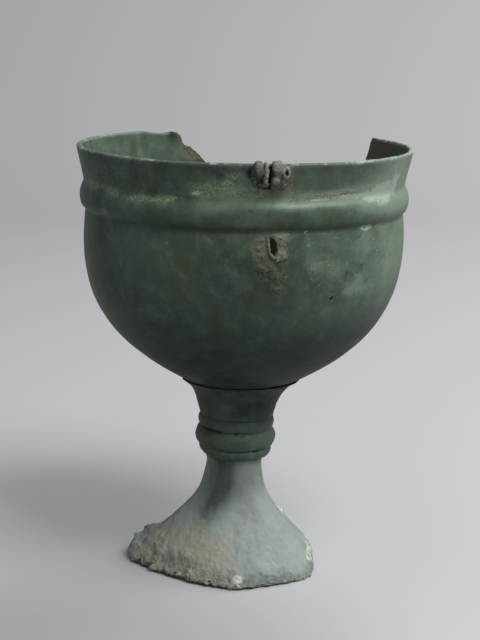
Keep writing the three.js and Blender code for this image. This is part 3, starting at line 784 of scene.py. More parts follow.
def column_azimuths(columns):
    """Azimuths that crowd together where the wall has its finest shapes."""
    fine = np.linspace(-180, 180, 7201)
    density = 1 + 0 * fine
    for middle, width, extra in ((35.2, 1.6, 9.0), (111, 9, 1.6), (-80.5, 5, 2.2)):
        density += extra * bell(fine - middle, width)
    total = np.append(0, np.cumsum((density[1:] + density[:-1]) / 2))
    return np.interp(np.arange(columns) / columns, total / total[-1], fine)


def skin_faces(bm, spots, azimuth, reach):
    """The faces of both skins near an azimuth, with their middles and their depths in the wall."""
    faces = [f for f in bm.faces if all(v in spots and abs(spots[v][0] - azimuth) < reach for v in f.verts)]
    faces = [f for f in faces if len({spots[v][2] for v in f.verts}) == 1]
    places_of = np.array([np.mean([spots[v] for v in f.verts], axis=0) for f in faces])
    return faces, places_of[:, :2], places_of[:, 2]


def pierce(bm, chosen, snap):
    """Cuts the chosen faces out of both skins and joins the two holes' borders."""
    before = {e for e in bm.edges if e.is_boundary}
    bmesh.ops.delete(bm, geom=chosen, context="FACES")
    border = [e for e in bm.edges if e.is_boundary and e not in before]
    snap({v for e in border for v in e.verts})
    bmesh.ops.bridge_loops(bm, edges=border)


class CHALICE_OT_bowl(bpy.types.Operator):
    """Spins the bowl's wall, breaks its rim and tears the slot in its belly"""

    bl_idname = "chalice.bowl"
    bl_label = "Bowl"

    def execute(self, context):
        settings = context.scene.chalice_bowl
        bowl = Bowl()
        columns, rows = settings.columns, settings.rows
        bore = bowl.path.along[np.argmax(bowl.path.x > RIVET_BORE)]
        steps = np.linspace(0, 1, rows + 1)
        spread = bore + (bowl.full - bore) * (0.35 * steps**0.6 + 0.65 * steps)
        lip_turns = np.radians((35, 90, 145))
        outer = [bowl.path.at(s) for s in spread]
        middle = [(outer[-1][0] - i * 0.1, outer[-1][1] + 1) for i in range(len(lip_turns))]
        inner = [(x - 1, y + 0.5) for x, y in reversed(outer)]
        bm = spun(outer + middle + inner, columns, closed=True)
        row, azimuth = places(bm)
        column = columns_of(azimuth, columns)
        azimuth = column_azimuths(columns)[column]
        lips = len(lip_turns)
        on_lip = (row > rows) & (row <= rows + lips)
        level = np.where(row <= rows, row, 2 * rows + 1 + lips - row)
        nominal = spread[np.clip(level, 0, rows)]
        top = bowl.top(column_azimuths(columns))[column]
        stretch = (top - bowl.fixed) / (bowl.full - bowl.fixed)
        distance = np.where(nominal > bowl.fixed, bowl.fixed + (nominal - bowl.fixed) * stretch, nominal)
        turn = np.where(on_lip, lip_turns[np.clip(row - rows - 1, 0, lips - 1)], 0)
        depth = np.where(on_lip, (1 - np.cos(turn)) / 2, (row > rows + lips).astype(float))
        ragged = ease(bowl.full - top, 0.8, 3)
        chipped = ragged * ring_noise(azimuth + depth * 40, 60, (0.35, 1.1, 8))
        rise = np.where(on_lip, np.sin(turn) * bowl.lip * (1 - 0.3 * ragged) + chipped, 0)
        move_all(bm, bowl.place(azimuth, distance, depth, rise))
        spots = {v: (azimuth[i], distance[i], depth[i]) for i, v in enumerate(bm.verts)}
        self.tear(bm, bowl, spots)
        self.prick(bm, bowl, spots)
        bmesh.ops.recalc_face_normals(bm, faces=bm.faces)
        obj = finished("bowl_shell", bm, bowl_matrix(), "bowl_bronze", "bowl")
        self.colour(obj, bowl)
        return {"FINISHED"}

    def tear(self, bm, bowl, spots):
        """The torn slot under the rib."""
        outline = tuple((a, bowl.up_to(h)) for a, h in TEAR)
        faces, middles, _ = skin_faces(bm, spots, -80.5, 3.5)
        chosen = [f for f, hit in zip(faces, inside(outline, *middles.T)) if hit]

        def snap(verts):
            for vert in verts:
                azimuth, distance, depth = spots[vert]
                _, near = border_distance(outline, np.array([azimuth]), np.array([distance]))
                vert.co = bowl.place(near[:1, 0], near[:1, 1], np.array([depth]))[0]

        pierce(bm, chosen, snap)

    def prick(self, bm, bowl, spots):
        """The small hole near the rim at the back left."""
        azimuth, height = PINHOLE
        faces, middles, depths = skin_faces(bm, spots, azimuth, 3.5)
        gaps = np.hypot(*(middles - (azimuth, bowl.up_to(height))).T)
        nearest = [faces[np.argmin(np.where(depths == skin, gaps, np.inf))] for skin in (0, 1)]
        pierce(bm, nearest, lambda verts: None)

    def colour(self, obj, bowl):
        points, radius, azimuth = in_frame(obj, bowl_matrix())
        height = points[:, 2]
        span = partial(sector, azimuth)
        sunk = bowl.radius(height) - radius
        within = ease(sunk, 0.55 * bowl.wall, 0.85 * bowl.wall)
        without = 1 - ease(sunk, 0.2 * bowl.wall, 0.6 * bowl.wall)
        top = np.interp(bowl.top(azimuth), bowl.path.along, bowl.path.y)
        edge = ease(height, top - 0.2 - 0.8 * sector(azimuth, -80, -45, 20, 60), top + 0.1)
        broken = ease(RIM_HEIGHT - top, 1.8, 4)
        wide = fractal(points, 9, 3, 11)
        close = fractal(points, 2.4, 3, 12)
        dots = fractal(points, 1.1, 3, 14)
        streaks = fractal(points * np.array((1, 1, 0.16)), 1.6, 2, 13)

        def spots(marks, spread=1.0):
            found = 0
            for at, up, width, tall, strength in marks:
                gap = np.hypot((azimuth - at) * DEGREE / width, (height - up) / tall)
                found = np.maximum(found, strength * bell(gap, spread))
            return without * found

        front = without * span(-118, -94, -84, -62) * plateau(height, 62, 67, 69, 73)
        junction = np.interp(azimuth, *zip(*BAND_FOOT))
        # Along the crest where the band meets the rib, the ledge carries crust. On the right, its pale part
        # and the broader band beside it are a painted highlight.
        ledge = without * bell(height - junction + 0.3, 1.1 + 0.4 * close)
        crest_highlight = without * bell(height - junction + 0.6, 1.9 + 0.5 * wide)
        rib = without * bell(height - 73.5, 4.2)
        ribside = without * bell(height - 64.2, 1.1)
        line = without * bell(height - 72.1, 0.3) * span(-99, -95, -85, -81)
        ring = np.hypot((azimuth + 58.3) * math.radians(57), height - 40.1)
        speckled = without * span(-78, -60, -34, -18) * plateau(height, 30, 42, 60, 66)
        torn = within * broken * ease(height, top - 6, top - 2.4)
        lump = bell(azimuth - 118.5, 2.6) * ease(height, top - 2.5, top - 0.5)
        mount = spots(MOUNT_STAINS)
        shoulder = spots(((-27.5, 79.5, 4.4, 5, 0.85), (-31, 77, 4, 3, 0.6)))
        rim, right_rim = edge * (1 - broken), span(-80, -45, 30, 34)
        inner_right = span(-60, -15, 34, 38)
        band = without * ease(height, 76, 79) * span(-230, -160, -70, -40)
        hollow = without * bell(height - 66.2, 2)
        lower = 1 - ease(height, 8, 36)
        left, around = np.abs(azimuth), span(-175, -150, -50, -30)

        crust = 1.85 * spots(CRUST_SPOTS, 1.4) + 0.52 * ledge * span(-84, -72, -36, -20)
        crust = crust + 0.24 * ledge * span(-150, -138, -112, -104) + 0.2 * torn
        paint(
            obj,
            crust=crust * (0.85 + 0.6 * wide),
            pale=(
                spots(PALE_SPOTS, 1.15), 0.5 * line, 0.3 * ledge * span(-84, -62, -28, -16),
                0.55 * without * bell(ring - 1.3, 0.4), shoulder * ease(streaks, -0.15, 0.4),
                speckled * (0.06 + 0.4 * ease(dots, 0.25, 0.6)), 0.3 * ribside * span(-70, -60, -25, -15),
                0.4 * torn * (0.8 + 0.6 * dots), rim * (0.38 + 0.2 * right_rim + 0.4 * close + 0.2 * wide),
            ),
            brown=(
                spots(BROWN_SPOTS), within * inner_right * (0.5 + 0.6 * wide) * ease(height, 48, 74),
                0.55 * torn, 0.35 * lump, 0.3 * rim * span(-125, -110, -60, -40), 0.16 * mount,
                0.07 * front,
            ),
            # Painted shade: darker low on the belly, in the hollow under the rib, deep inside the bowl and a
            # little along the rib's underside. The rib's front and the band are also darker.
            shade=(
                without * lower * (0.42 + 0.2 * span(-88, -60, 20, 60)),
                0.2 * hollow * span(-95, -60, 20, 60), 0.2 * front,
                0.9 * within * (1 - ease(height, 40, 74)), 0.1 * band, 0.06 * ribside * around,
            ),
            # Painted shadow: the line under the rib. The rest are the dark spots with the painted shadows
            # round the hinge, the ringed mark, dark broken edges, the fracture lump and pits.
            dark=(
                spots(DARK_AND_SHADOW_SPOTS), 0.12 * ribside * around, 0.8 * without * bell(ring, 0.7),
                0.1 * edge * broken, 0.25 * within * broken * ease(height, top - 1.6, top - 0.4),
                0.45 * lump, 0.25 * speckled * ease(-close, 0.1, 0.5),
            ),
            spot=(spots(GREY_SPOTS), 0.7 * rim * right_rim),
            # Painted light: lighter on the right belly, where the light falls, and on the inner left wall,
            # which faces it. The left belly is also lighter.
            light=(
                0.55 * without * span(-90, -55, 10, 60) * ease(height, 12, 36),
                0.6 * within * ease(left, 90, 130),
                0.36 * without * span(-155, -138, -112, -96) * ease(height, 22, 36),
            ),
            # The haze here is partly bloom and partly painted: a painted highlight on the rib's right, along
            # the crest and over the pale spots there, and painted light on the right belly and the inner
            # left wall.
            bloom=(
                rib * (0.65 + 0.5 * wide) * span(-62, -30, -12, 45), 1.05 * crest_highlight * span(-92, -64, -16, 4),
                0.36 * mount, 0.55 * spots(CRUST_SPOTS, 2.2) * (1 + wide), 0.4 * spots(PALE_SPOTS[:9], 2.4),
                0.55 * spots(((-26, 81.5, 5, 6, 1),)), speckled * (0.1 + 0.22 * wide), 0.5 * torn,
                0.3 * edge, 0.12 * within * ease(left, 100, 150),
                0.25 * within * bell(azimuth - 134.8, 1.6),
                0.3 * without * span(-225, -172, -172, -140),
                0.5 * without * span(-58, -25, 20, 60) * ease(height, 20, 50),
            ),
        )


# Stem


def ring_rows(radii, base, top, bore, steps=11):
    """A ring's profile with worn corners and a swelling outside. It nearly closes the joints beside it."""
    high, swell, low = radii
    base, top = base - 0.13, top + 0.13
    outside = curve(((low - 0.1, base), (low, base), (low, base + 0.1)), 2)
    outside += curve(((low, base + 0.1), (swell, (base + top) / 2), (high, top - 0.1)), steps)[1:]
    outside += curve(((high, top - 0.1), (high, top), (high - 0.1, top)), 2)[1:]
    inside = [(bore + 2, top), (bore, top), (bore, (base + top) / 2), (bore, base), (bore + 2, base)]
    return inside[3:] + outside + inside[:3]


def worn(bm, wobble):
    """Makes a turned piece uneven, as old casting is. Neighbours bend alike, so their joints stay even."""
    points = vertices(bm)
    push = wobble * (fractal(points, 9, 2, 5) + 0.5 * fractal(points, 2.6, 3, 6))
    radius, azimuth = polar(points)
    outer = ease(radius, 8.5, 12)
    for height, depth, *span in CLEFTS:
        push = push - depth * sector(azimuth, *span) * bell(points[:, 2] - height, 0.6)
    points[:, 2] += outer * 1.6 * wobble * fractal(points, 8, 2, 7)
    points[:, :2] *= (1 + outer * push / np.maximum(radius, 1))[:, None]
    move_all(bm, points)


class CHALICE_OT_stem(bpy.types.Operator):
    """Spins the stem, the knop and its two rings"""

    bl_idname = "chalice.stem"
    bl_label = "Stem and knop"

    def execute(self, context):
        settings = context.scene.chalice_stem
        wobble = settings.wobble / MM
        rings = (
            ("knop_lower_ring", (13.4, 13.8, 11.9), LOWER_RING),
            ("knop", (13.65, 16.5, 13.6), KNOP),
            ("knop_upper_ring", (13.65, 14.8, 13.7), UPPER_RING),
        )
        for name, radii, span in rings:
            bm = spun(ring_rows(radii, *span, SOCKET), settings.columns, closed=True)
            worn(bm, wobble)
            piece = finished(name + "_turned", bm, stand_matrix(), "stem_bronze", name)
            self.colour(piece)
        self.calyx(settings, wobble)
        return {"FINISHED"}

    def calyx(self, settings, wobble):
        """The waisted cup of the stem, with its spigot and the seat that follows the bowl."""
        bowl = Bowl()
        lean = bpy.context.scene.chalice_stand
        slope = math.tan(lean.stem_lean - lean.bowl_lean)
        shift = lean.bowl_shift / MM
        spigot = [(RIVET_BORE, 32.4), (7.2, 32.4), (7.5, 32.8), (7.5, 45), (7.5, COLLAR)]
        side = curve(((13.55, COLLAR - 0.13), (13.65, COLLAR - 0.13), (13.65, COLLAR - 0.03)), 2)
        side += curve(((13.65, COLLAR - 0.03), (15.5, 63.4), (15.5, 67.8), (21, 71.4)), 30)[1:]
        seat = [(21.05, 71.7), (20.8, 71.9)] + [(r, 71) for r in (19, 16, 12, 8, 4, RIVET_BORE)]
        first = len(spigot) + len(side)
        bm = spun(spigot + side + seat, settings.columns, closed=True)
        worn(bm, wobble)
        rows, _ = places(bm)
        for vert in (v for v, row in zip(bm.verts, rows) if row >= first):
            radius = math.hypot(vert.co.x - shift, vert.co.y)
            under = BOWL_BASE + np.interp(radius, bowl.path.x, bowl.path.y) + slope * (vert.co.x - shift)
            vert.co.z = under - SEAT_GAP
        piece = finished("stem_calyx", bm, stand_matrix(), "stem_bronze", "stem")
        self.colour(piece)

    def colour(self, piece):
        points, radius, azimuth = in_frame(piece, stand_matrix())
        height = points[:, 2]
        wide, close = fractal(points, 6, 3, 21), fractal(points, 1.6, 3, 22)
        span = partial(sector, azimuth)
        clefts = np.max([bell(height - h, 0.6) for h in JOINTS], axis=0)
        opened = [0.6 * depth * bell(height - h, 0.5) * span(*at) for h, depth, *at in CLEFTS]
        calyx = ease(height, 53, 60)
        paint(
            piece,
            # Painted shade in the open clefts and on the hidden inner faces between the pieces, besides thin
            # dark joints and blotches.
            dark=(
                0.08 * clefts, np.max(opened, axis=0), 0.3 * (1 - ease(radius, 11, 12.6)),
                0.15 * ease(wide, 0.2, 0.5),
            ),
            pale=(
                0.5 * bell(height - 52.9, 0.5) * span(-125, -100, -86, -66),
                0.4 * bell(height - 44.4, 0.35) * span(-130, -112, -60, -35), 0.1 * ease(close, 0.25, 0.6),
            ),
            crust=(0.12 * ease(wide, 0.2, 0.6), 0.15 * ease(close, 0.3, 0.6) * (height > 58)),
            brown=(0.15 * ease(wide, 0.1, 0.5), 0.15 * calyx * span(-230, -170, -140, -100)),
            # Painted shadow of the bowl on the calyx's right side, and darker joints. Painted light and a
            # lighter haze on the rings' right side, where the light falls.
            shade=(calyx * (0.08 + 0.4 * span(-95, -55, 40, 90)), 0.1 * clefts),
            light=0.2 * (1 - calyx) * span(-110, -60, 10, 60),
            bloom=((1 - calyx) * (0.16 + 0.14 * span(-90, -50, 10, 60)), 0.25 * wide),
        )


# Solder and rivet


class CHALICE_OT_joints(bpy.types.Operator):
    """Spins the dish of solder under the bowl, the tie rivet and its washer"""

    bl_idname = "chalice.joints"
    bl_label = "Solder and rivet"

    def execute(self, context):
        self.solder()
        self.rivet()
        return {"FINISHED"}

    def solder(self):
        bowl = Bowl()
        radii = np.append(np.linspace(RIVET_BORE, 20.6, 12), (21.2, 21.6))
        low = [(r, float(np.interp(r, bowl.path.x, bowl.path.y)) - SOLDER_GAP) for r in radii]
        high = [(r, z + SOLDER_THICK) for r, z in reversed(low)]
        bm = spun(low + [(21.8, low[-1][1] + 0.2)] + high, 240, closed=True)
        points = vertices(bm)
        radius, azimuth = polar(points)
        ragged = ring_noise(azimuth, 21, (0.35, 5, 31), (0.15, 1.5, 32))
        ragged = ragged + 0.3 * sector(azimuth, *SPILL) - 0.05
        points[:, :2] *= (1 + ease(radius, 20, 21.6) * ragged / 21)[:, None]
        move_all(bm, points)
        piece = finished("seam_solder_dish", bm, bowl_matrix(), "solder", "seam_solder")
        points, _, azimuth = in_frame(piece, bowl_matrix())
        spill = sector(azimuth, *SPILL)
        pale = spill * (0.25 + 0.5 * fractal(points, 1.5, 3, 33))
        # Painted shade: the dish is darkened where it lies in the joint under the bowl. The spilled part is
        # pale.
        paint(piece, dark=0.3 * (1 - spill), pale=pale, bloom=0.3 * spill, crust=0.1, shade=0.3)

    def rivet(self):
        floor = BOWL_BASE - 4 + 1.7
        head = curve(((4.6, floor + 0.35), (4.6, floor + 2.2), (2.6, floor + 2.4), (0, floor + 2.4)), 12)
        tail = curve(((0, 25.4), (2.1, 25.4), (2.5, 25.7), (3.2, 26.8)), 8)
        rows = tail + [(3.2, 27.1), (1.6, 27.1), (1.6, 40), (1.6, 55), (1.6, floor + 0.35)] + head
        bm = spun(rows, 72, closed=False)
        points = vertices(bm)
        points += 0.1 * np.column_stack([fractal(points, 2.5, 3, seed) for seed in (41, 42, 43)])
        move_all(bm, points)
        piece = finished("tie_rivet_hammered", bm, stand_matrix(), "stem_bronze", "tie_rivet")
        paint(piece, dark=0.2, crust=0.35, light=0.3)
        rows = [(1.95, 27.4), (4.6, 27.4), (5, 27.7), (5, 28.4), (4.7, 28.7), (1.95, 28.7)]
        bm = spun(rows, 72, closed=True)
        piece = finished("rivet_washer_forged", bm, stand_matrix(), "stem_bronze", "rivet_washer")
        paint(piece, dark=0.3, crust=0.4)


# Foot


class Foot:
    """The bell foot's surfaces, before and after it was bent and broken."""

    def __init__(self):
        self.corrosion = bpy.context.scene.chalice_stem.corrosion / MM
        shoulder = curve(((10.9, FOOT_TOP - 0.2), (10.3, 41.2), (10.3, 39.1)), 8)
        self.flare = Path(shoulder + curve(FLARE, 80) + [(46, -1.6)], softness=0.4)
        self.hollow = Path(curve(HOLLOW))
        self.matrix = stand_matrix()

        # Along the flare's outside, past the shoulder, the radius only grows
        self.x, self.y, self.along = (line[60:] for line in (self.flare.x, self.flare.y, self.flare.along))

    def bent(self, radius, azimuth):
        lift = 0
        for middle, most, start, sharp in EDGE_BENDS:
            facing = np.maximum(0, np.cos(np.radians(azimuth - middle)))
            lift = lift + most * np.maximum(0, (radius - start) / (38 - start)) ** 2 * facing**sharp
        return lift

    def above_table(self, radius, azimuth, height):
        """Height over the table of a point of the leaning foot."""
        return round_points(radius, azimuth, height) @ np.array(self.matrix.to_3x3()[2])

    def table(self, spots):
        """Height in the foot's own frame at which a point lies on the table."""
        tilt = self.matrix.to_3x3()[2]
        return -(tilt[0] * spots[:, 0] + tilt[1] * spots[:, 1]) / tilt[2]

    def upper(self, radius, azimuth):
        """Height of the bent flare."""
        return np.interp(radius, self.x, self.y) + self.bent(radius, azimuth)

    def rounding(self, to_edge, radius, azimuth, height):
        """How far the flare's worn edge curves down before it is broken off."""
        over = np.clip(1 - to_edge / WORN_EDGE, 0, 1.2)
        return 0.5 * over**2.2 * np.maximum(self.above_table(radius, azimuth, height), 0)

    def edge(self, azimuth, ragged=1.0):
        """Radius at which the flare is broken off."""
        limit = np.interp(azimuth, *zip(*FOOT_OUTLINE), period=360)
        limit = limit + ragged * ring_noise(azimuth, 33, (0.5, 2.2, 51), (0.25, 0.8, 52))
        found = np.full(len(azimuth), 20.0)
        for radius in np.arange(20, 41, 0.1):
            high = self.above_table(radius, azimuth, self.upper(radius, azimuth)) > 0.7
            found = np.where(high & (radius < limit), radius, found)
        return np.minimum(limit, found + 0.1)


class CHALICE_OT_foot(bpy.types.Operator):
    """Spins the bell foot, bends its edge and breaks it off all round"""

    bl_idname = "chalice.foot"
    bl_label = "Foot"

    def execute(self, context):
        foot = Foot()
        columns = context.scene.chalice_stem.foot_columns
        counts = {"top": 4, "flare": 84, "break": 14, "sole": 5, "hollow": 30, "web": 12}
        ends = np.cumsum(list(counts.values()))
        starts = {key: end - counts[key] for key, end in zip(counts, ends)}
        web = [(7, 29), (4.5, 29)] + [(RIVET_BORE, z) for z in (29, 30.5, 32)] + [(4.5, 32)]
        web += [(SOCKET, z) for z in (32, 34, 36, 38, 40, 42.2)]
        top = [(8.1, FOOT_TOP), (9, FOOT_TOP), (10, FOOT_TOP), (10.7, FOOT_TOP - 0.05)]
        rough = [(11 + i * 0.3, 41 - i * 0.4) for i in range(counts["flare"])]
        rough += [(36, 3 - i * 0.2) for i in range(counts["break"])]
        rough += [(34 - i * 1.2, 0) for i in range(counts["sole"])]
        rough += [(26 - i * 0.6, 1 + i * 0.9) for i in range(counts["hollow"])]
        bm = spun(top + rough + web, columns, closed=True)
        row, azimuth = places(bm)
        column = columns_of(azimuth, columns)
        turns = (np.arange(columns) * 360 / columns + 180) % 360 - 180
        edge = foot.edge(turns)[column]
        even_edge = foot.edge(turns, ragged=0.0)[column]
        points = vertices(bm)

        def set_part(key, found):
            chosen = (row >= starts[key]) & (row < starts[key] + counts[key])
            points[chosen] = found[chosen]

        def share(key):
            return np.clip((row - starts[key]) / (counts[key] - 1), 0, 1)

        reach = np.interp(edge, foot.x, foot.along)
        x, y = foot.flare.at(reach * (1 - (1 - share("flare")) ** 1.3))
        flare = round_points(x, azimuth, y + foot.bent(x, azimuth))
        set_part("flare", self.corroded(foot, flare, azimuth, x, even_edge))

        last = row == starts["break"] - 1
        rim = np.zeros((columns, 3))
        rim[column[last]] = points[last]
        brink = rim[column]
        fall = (row - starts["break"] + 1) / counts["break"]
        chip = 0.7 * fractal(np.column_stack([points[:, :2], fall * 5]), 1.9, 3, 55)
        belly = 0.35 * np.sin(np.pi * fall) - fall**2
        jags = (edge - even_edge) * ease(fall, 0, 0.4)
        radius = np.hypot(brink[:, 0], brink[:, 1]) - jags + belly + chip * np.sin(np.pi * fall)
        face = round_points(radius, azimuth, 0)
        face[:, 2] = brink[:, 2] + (foot.table(face) - brink[:, 2]) * fall
        set_part("break", face)

        inner_radius = np.minimum(27, radius - 1)
        sole = round_points(radius + (inner_radius - radius) * (share("sole") * 0.9 + 0.1), azimuth, 0)
        sole[:, 2] = foot.table(sole)
        set_part("sole", sole)

        x, y = foot.hollow.at(share("hollow") * foot.hollow.length)
        x = np.minimum(x, inner_radius)
        under = round_points(x, azimuth, y + foot.bent(x, azimuth))
        under[:, 2] = np.maximum(under[:, 2], foot.table(under))
        under[:, 2] += 0.25 * fractal(under, 4, 3, 56) * ease(y, 3, 8)
        set_part("hollow", under)
        move_all(bm, points)
        piece = finished("foot_bell", bm, foot.matrix, "foot_bronze", "foot")
        for vert in piece.data.vertices:
            vert.co.z = max(vert.co.z, 0)
        self.colour(piece, foot)
        return {"FINISHED"}

    def ridge(self, azimuth, radius):
        """How far outside the old fold line a point of the flare lies, and the fold's strength there."""
        line = np.interp(azimuth % 360, (176, 186, 209, 232, 245), (31.5, 30.7, 27.9, 27.2, 27.6))
        line = line + ring_noise(azimuth, 30, (0.5, 3, 57))
        return radius - line, sector(azimuth, 174, 184, 232, 243)

    def corroded(self, foot, points, azimuth, radius, edge):
        """Crust, lumps and the old fold on the flare's upper side."""
        points[:, 2] -= foot.rounding(edge - radius, radius, azimuth, points[:, 2])
        steep = np.clip(1 - (edge - radius) / WORN_EDGE, 0, 1)
        outer = ease(radius, 13, 24)
        corner = sector(azimuth, 165, 178, 205, 225) * ease(radius, 24, 28)
        past, fold = self.ridge(azimuth, radius)
        brim = bell(edge - radius - 1.6, 1.6)
        height = foot.corrosion * (0.35 + 0.65 * outer) * fractal(points, 3.4, 4, 58)
        height = height + 0.5 * foot.corrosion * outer * fractal(points, 1.1, 3, 59)
        height = height + 0.9 * corner * fractal(points, 2.6, 4, 66)
        height = height + fold * (0.3 * bell(past, 1.1) - 0.45 * bell(past - 1.8, 1.1))
        rough = 1 + 0.7 * fractal(points, 1.4, 3, 64)
        for at, out, high, size in FOOT_LUMPS:
            height = height + high * bell(from_spot(points, at, out), size) * rough
        height = height + brim * (0.45 * fractal(points, 3, 4, 65) + 0.2 + 0.42 * fractal(points, 1, 3, 67))
        height = height * ease(radius, 11.2, 14)

        # Relief stands square to the slope, so it moves a point up and outwards
        fall = np.interp(radius, foot.x, -np.gradient(foot.y) / np.gradient(foot.x)) + 2 * steep
        neck = 1 - ease(radius, 12, 16)
        outwards = 0.8 * height * fall / np.hypot(1, fall) - 0.7 * corner * steep
        outwards = outwards + 0.14 * neck * fractal(points, 5, 3, 60)
        moved = points.copy()
        moved[:, 2] += height / np.hypot(1, fall)
        moved[:, :2] *= (1 + outwards / np.maximum(radius, 1))[:, None]
        return moved

    def colour(self, piece, foot):
        points, radius, azimuth = in_frame(piece, foot.matrix)
        height = points[:, 2]
        span = partial(sector, azimuth)
        upper = foot.upper(radius, azimuth)
        to_edge = foot.edge(azimuth, ragged=0.0) - radius
        upper = upper - foot.rounding(to_edge, radius, azimuth, upper)
        skin = ease(height, upper - 1.2, upper - 0.5)
        wide, close = fractal(points, 8, 3, 61), fractal(points, 2, 3, 62)
        streak = fractal(points * np.array((1, 1, 0.25)), 3, 3, 63)
        past, fold = self.ridge(azimuth, radius)
        turn = azimuth % 360

        brim = skin * (1 - ease(to_edge, -0.4, 3.2 + 1.6 * close))
        # The break face is painted as shade under the raised edge, darkest where it meets the table.
        face = 1 - skin
        low = face * (1 - ease(height, 0.4, 1.8))
        left, haze = span(170, 195, 262, 290), span(-90, -65, 30, 80)
        neck = ease(height, 13, 33) * skin
        middle = 236 + 12 * ease(height, 22, 36)
        reach = 12 + 20 * ease(height, 14, 34)
        stain = skin * ease(height, 9, 27) * bell(turn - middle, reach) * (0.9 + 0.28 * streak)
        stain = stain + 0.4 * neck * span(150, 190, 262, 292)
        crease = fold * skin * bell(past - 1.7)
        corner = skin * span(168, 178, 200, 216) * ease(radius, 25, 29)
        green = neck * bell(turn - 283, 12) * ease(wide, -0.1, 0.4)
        lumps = spot_marks(turn, radius, FOOT_CRUST)
        glints = spot_marks(turn, radius, FOOT_GLINTS) * np.clip(0.75 + 1.6 * close, 0, 1.3)
        crust = 0.8 * lumps + 0.5 * brim * span(170, 200, 262, 280) * ease(close, -0.3, 0.4)
        crust = crust + 0.3 * fold * skin * bell(past, 1.6) + 0.15 * face * ease(close, 0, 0.4)
        crust = crust + 0.28 * skin * left * ease(wide, 0, 0.5) + 0.45 * corner * (0.6 + close) + 0.4 * green
        pale = 0.75 * lumps * ease(close, -0.2, 0.3) + 0.35 * skin * span(-15, 10, 60, 120) * brim
        pale = pale + 0.3 * skin * span(-60, -30, 60, 100) * ease(close, 0.1, 0.5)
        paint(
            piece,
            # Painted shadow along the base of the break face and painted shade in the old fold's crease. The
            # rest are the crusty brim, a dark spot and blotches.
            dark=(
                0.1 * stain * ease(close, 0, 0.5), 0.08 * crease, 0.4 * low,
                (0.35 + 0.15 * left) * brim * ease(-close, 0.1, 0.5),
                0.5 * skin * bell(from_spot(points, 160, 34.6), 1.6),
                0.05 * skin * left * ease(-wide, 0.1, 0.5) * ease(radius, 20, 30),
            ),
            crust=crust * (1 - glints),
            pale=pale * (1 - glints),
            brown=(
                0.52 * left * skin * ease(radius, 14, 26) * (0.9 + 0.5 * wide),
                face * (0.3 + 0.5 * close),
            ),
            # Painted shadow on the break face and along its base, painted shade in the old fold's crease,
            # the dark stain down the neck, darker brim edges and a darker front.
            shade=(
                0.86 * stain, (0.3 - 0.2 * left) * face * ease(radius, 26, 28), 0.3 * low,
                (0.36 - 0.3 * left) * brim * (1 + 0.9 * close), 0.35 * crease,
                0.16 * skin * (1 - brim) * span(-130, -108, -84, -62) * ease(radius, 19, 25),
            ),
            # Painted highlight: the glints take the near-white spot colour.
            spot=1.5 * glints,
            # Painted light: lighter on the foot's left, which faces away from the lamps, and on the neck's
            # right, where the light falls. The haze on the right is lighter too.
            light=skin * (1 - brim) * np.maximum(0.08 * haze, left),
            bloom=(
                skin * (1 - neck) * (1 - brim) * (0.05 + 0.3 * left + 0.32 * haze) * (0.75 + 0.6 * wide),
                0.75 * neck * span(-62, -42, 40, 80) * (1 - ease(height, 26, 34)),
            ),
        )


def from_spot(points, azimuth, radius):
    """Each point's distance, seen from above, to a spot on the foot."""
    spot = round_points(radius, azimuth, 0)[0]
    return np.hypot(points[:, 0] - spot[0], points[:, 1] - spot[1])


def spot_marks(turn, radius, marks):
    """The strongest of the foot's spots at each place."""
    found = 0
    for at, out, width, depth, strength in marks:
        across = ((turn - at + 180) % 360 - 180) * np.radians(out) / width
        found = np.maximum(found, strength * bell(np.hypot(across, (radius - out) / depth)))
    return found


# Hinge remains


def fitting_matrix():
    """The fitting's frame: -Y points outwards through its middle."""
    return bowl_matrix() @ Matrix.Rotation(math.radians(FITTING_AZIMUTH + 90), 4, "Z")


def width_across(bowl, azimuth):
    """The place across the fitting of an azimuth in its frame, measured round the wall."""
    return np.radians(azimuth + 90) * bowl.radius(PIN_HEIGHT)


def on_wall(bowl, width, height, standoff):
    """A point near the bowl's outside, from its place across the fitting."""
    turn = math.radians(-90) + width / bowl.radius(PIN_HEIGHT)
    radius = bowl.radius(height) + standoff
    return Vector((radius * math.cos(turn), radius * math.sin(turn), height))


def on_fitting(bowl, outline):
    """An outline of azimuths and heights as widths across the fitting and heights."""
    return tuple((width_across(bowl, a - FITTING_AZIMUTH - 90), h) for a, h in outline)


def add_lump(bm, middle, size, power=1.0):
    """A rounded lump: a sphere of that size, squared up where the power is low."""
    made = bmesh.ops.create_uvsphere(bm, u_segments=28, v_segments=18, radius=1)["verts"]
    for vert in made:
        vert.co = [math.copysign(abs(c) ** power, c) for c in vert.co]
    bmesh.ops.transform(bm, matrix=Matrix.Translation(middle) @ Matrix.Diagonal((*size, 1)), verts=made)


def add_bar(bm, left, right, y, z, radius):
    """A round bar across the fitting."""
    ends = {"radius1": radius, "radius2": radius, "depth": right - left}
    made = bmesh.ops.create_cone(bm, cap_ends=True, segments=28, **ends)["verts"]
    place = Matrix.Translation(((left + right) / 2, y, z)) @ Matrix.Rotation(math.radians(90), 4, "Y")
    bmesh.ops.transform(bm, matrix=place, verts=made)


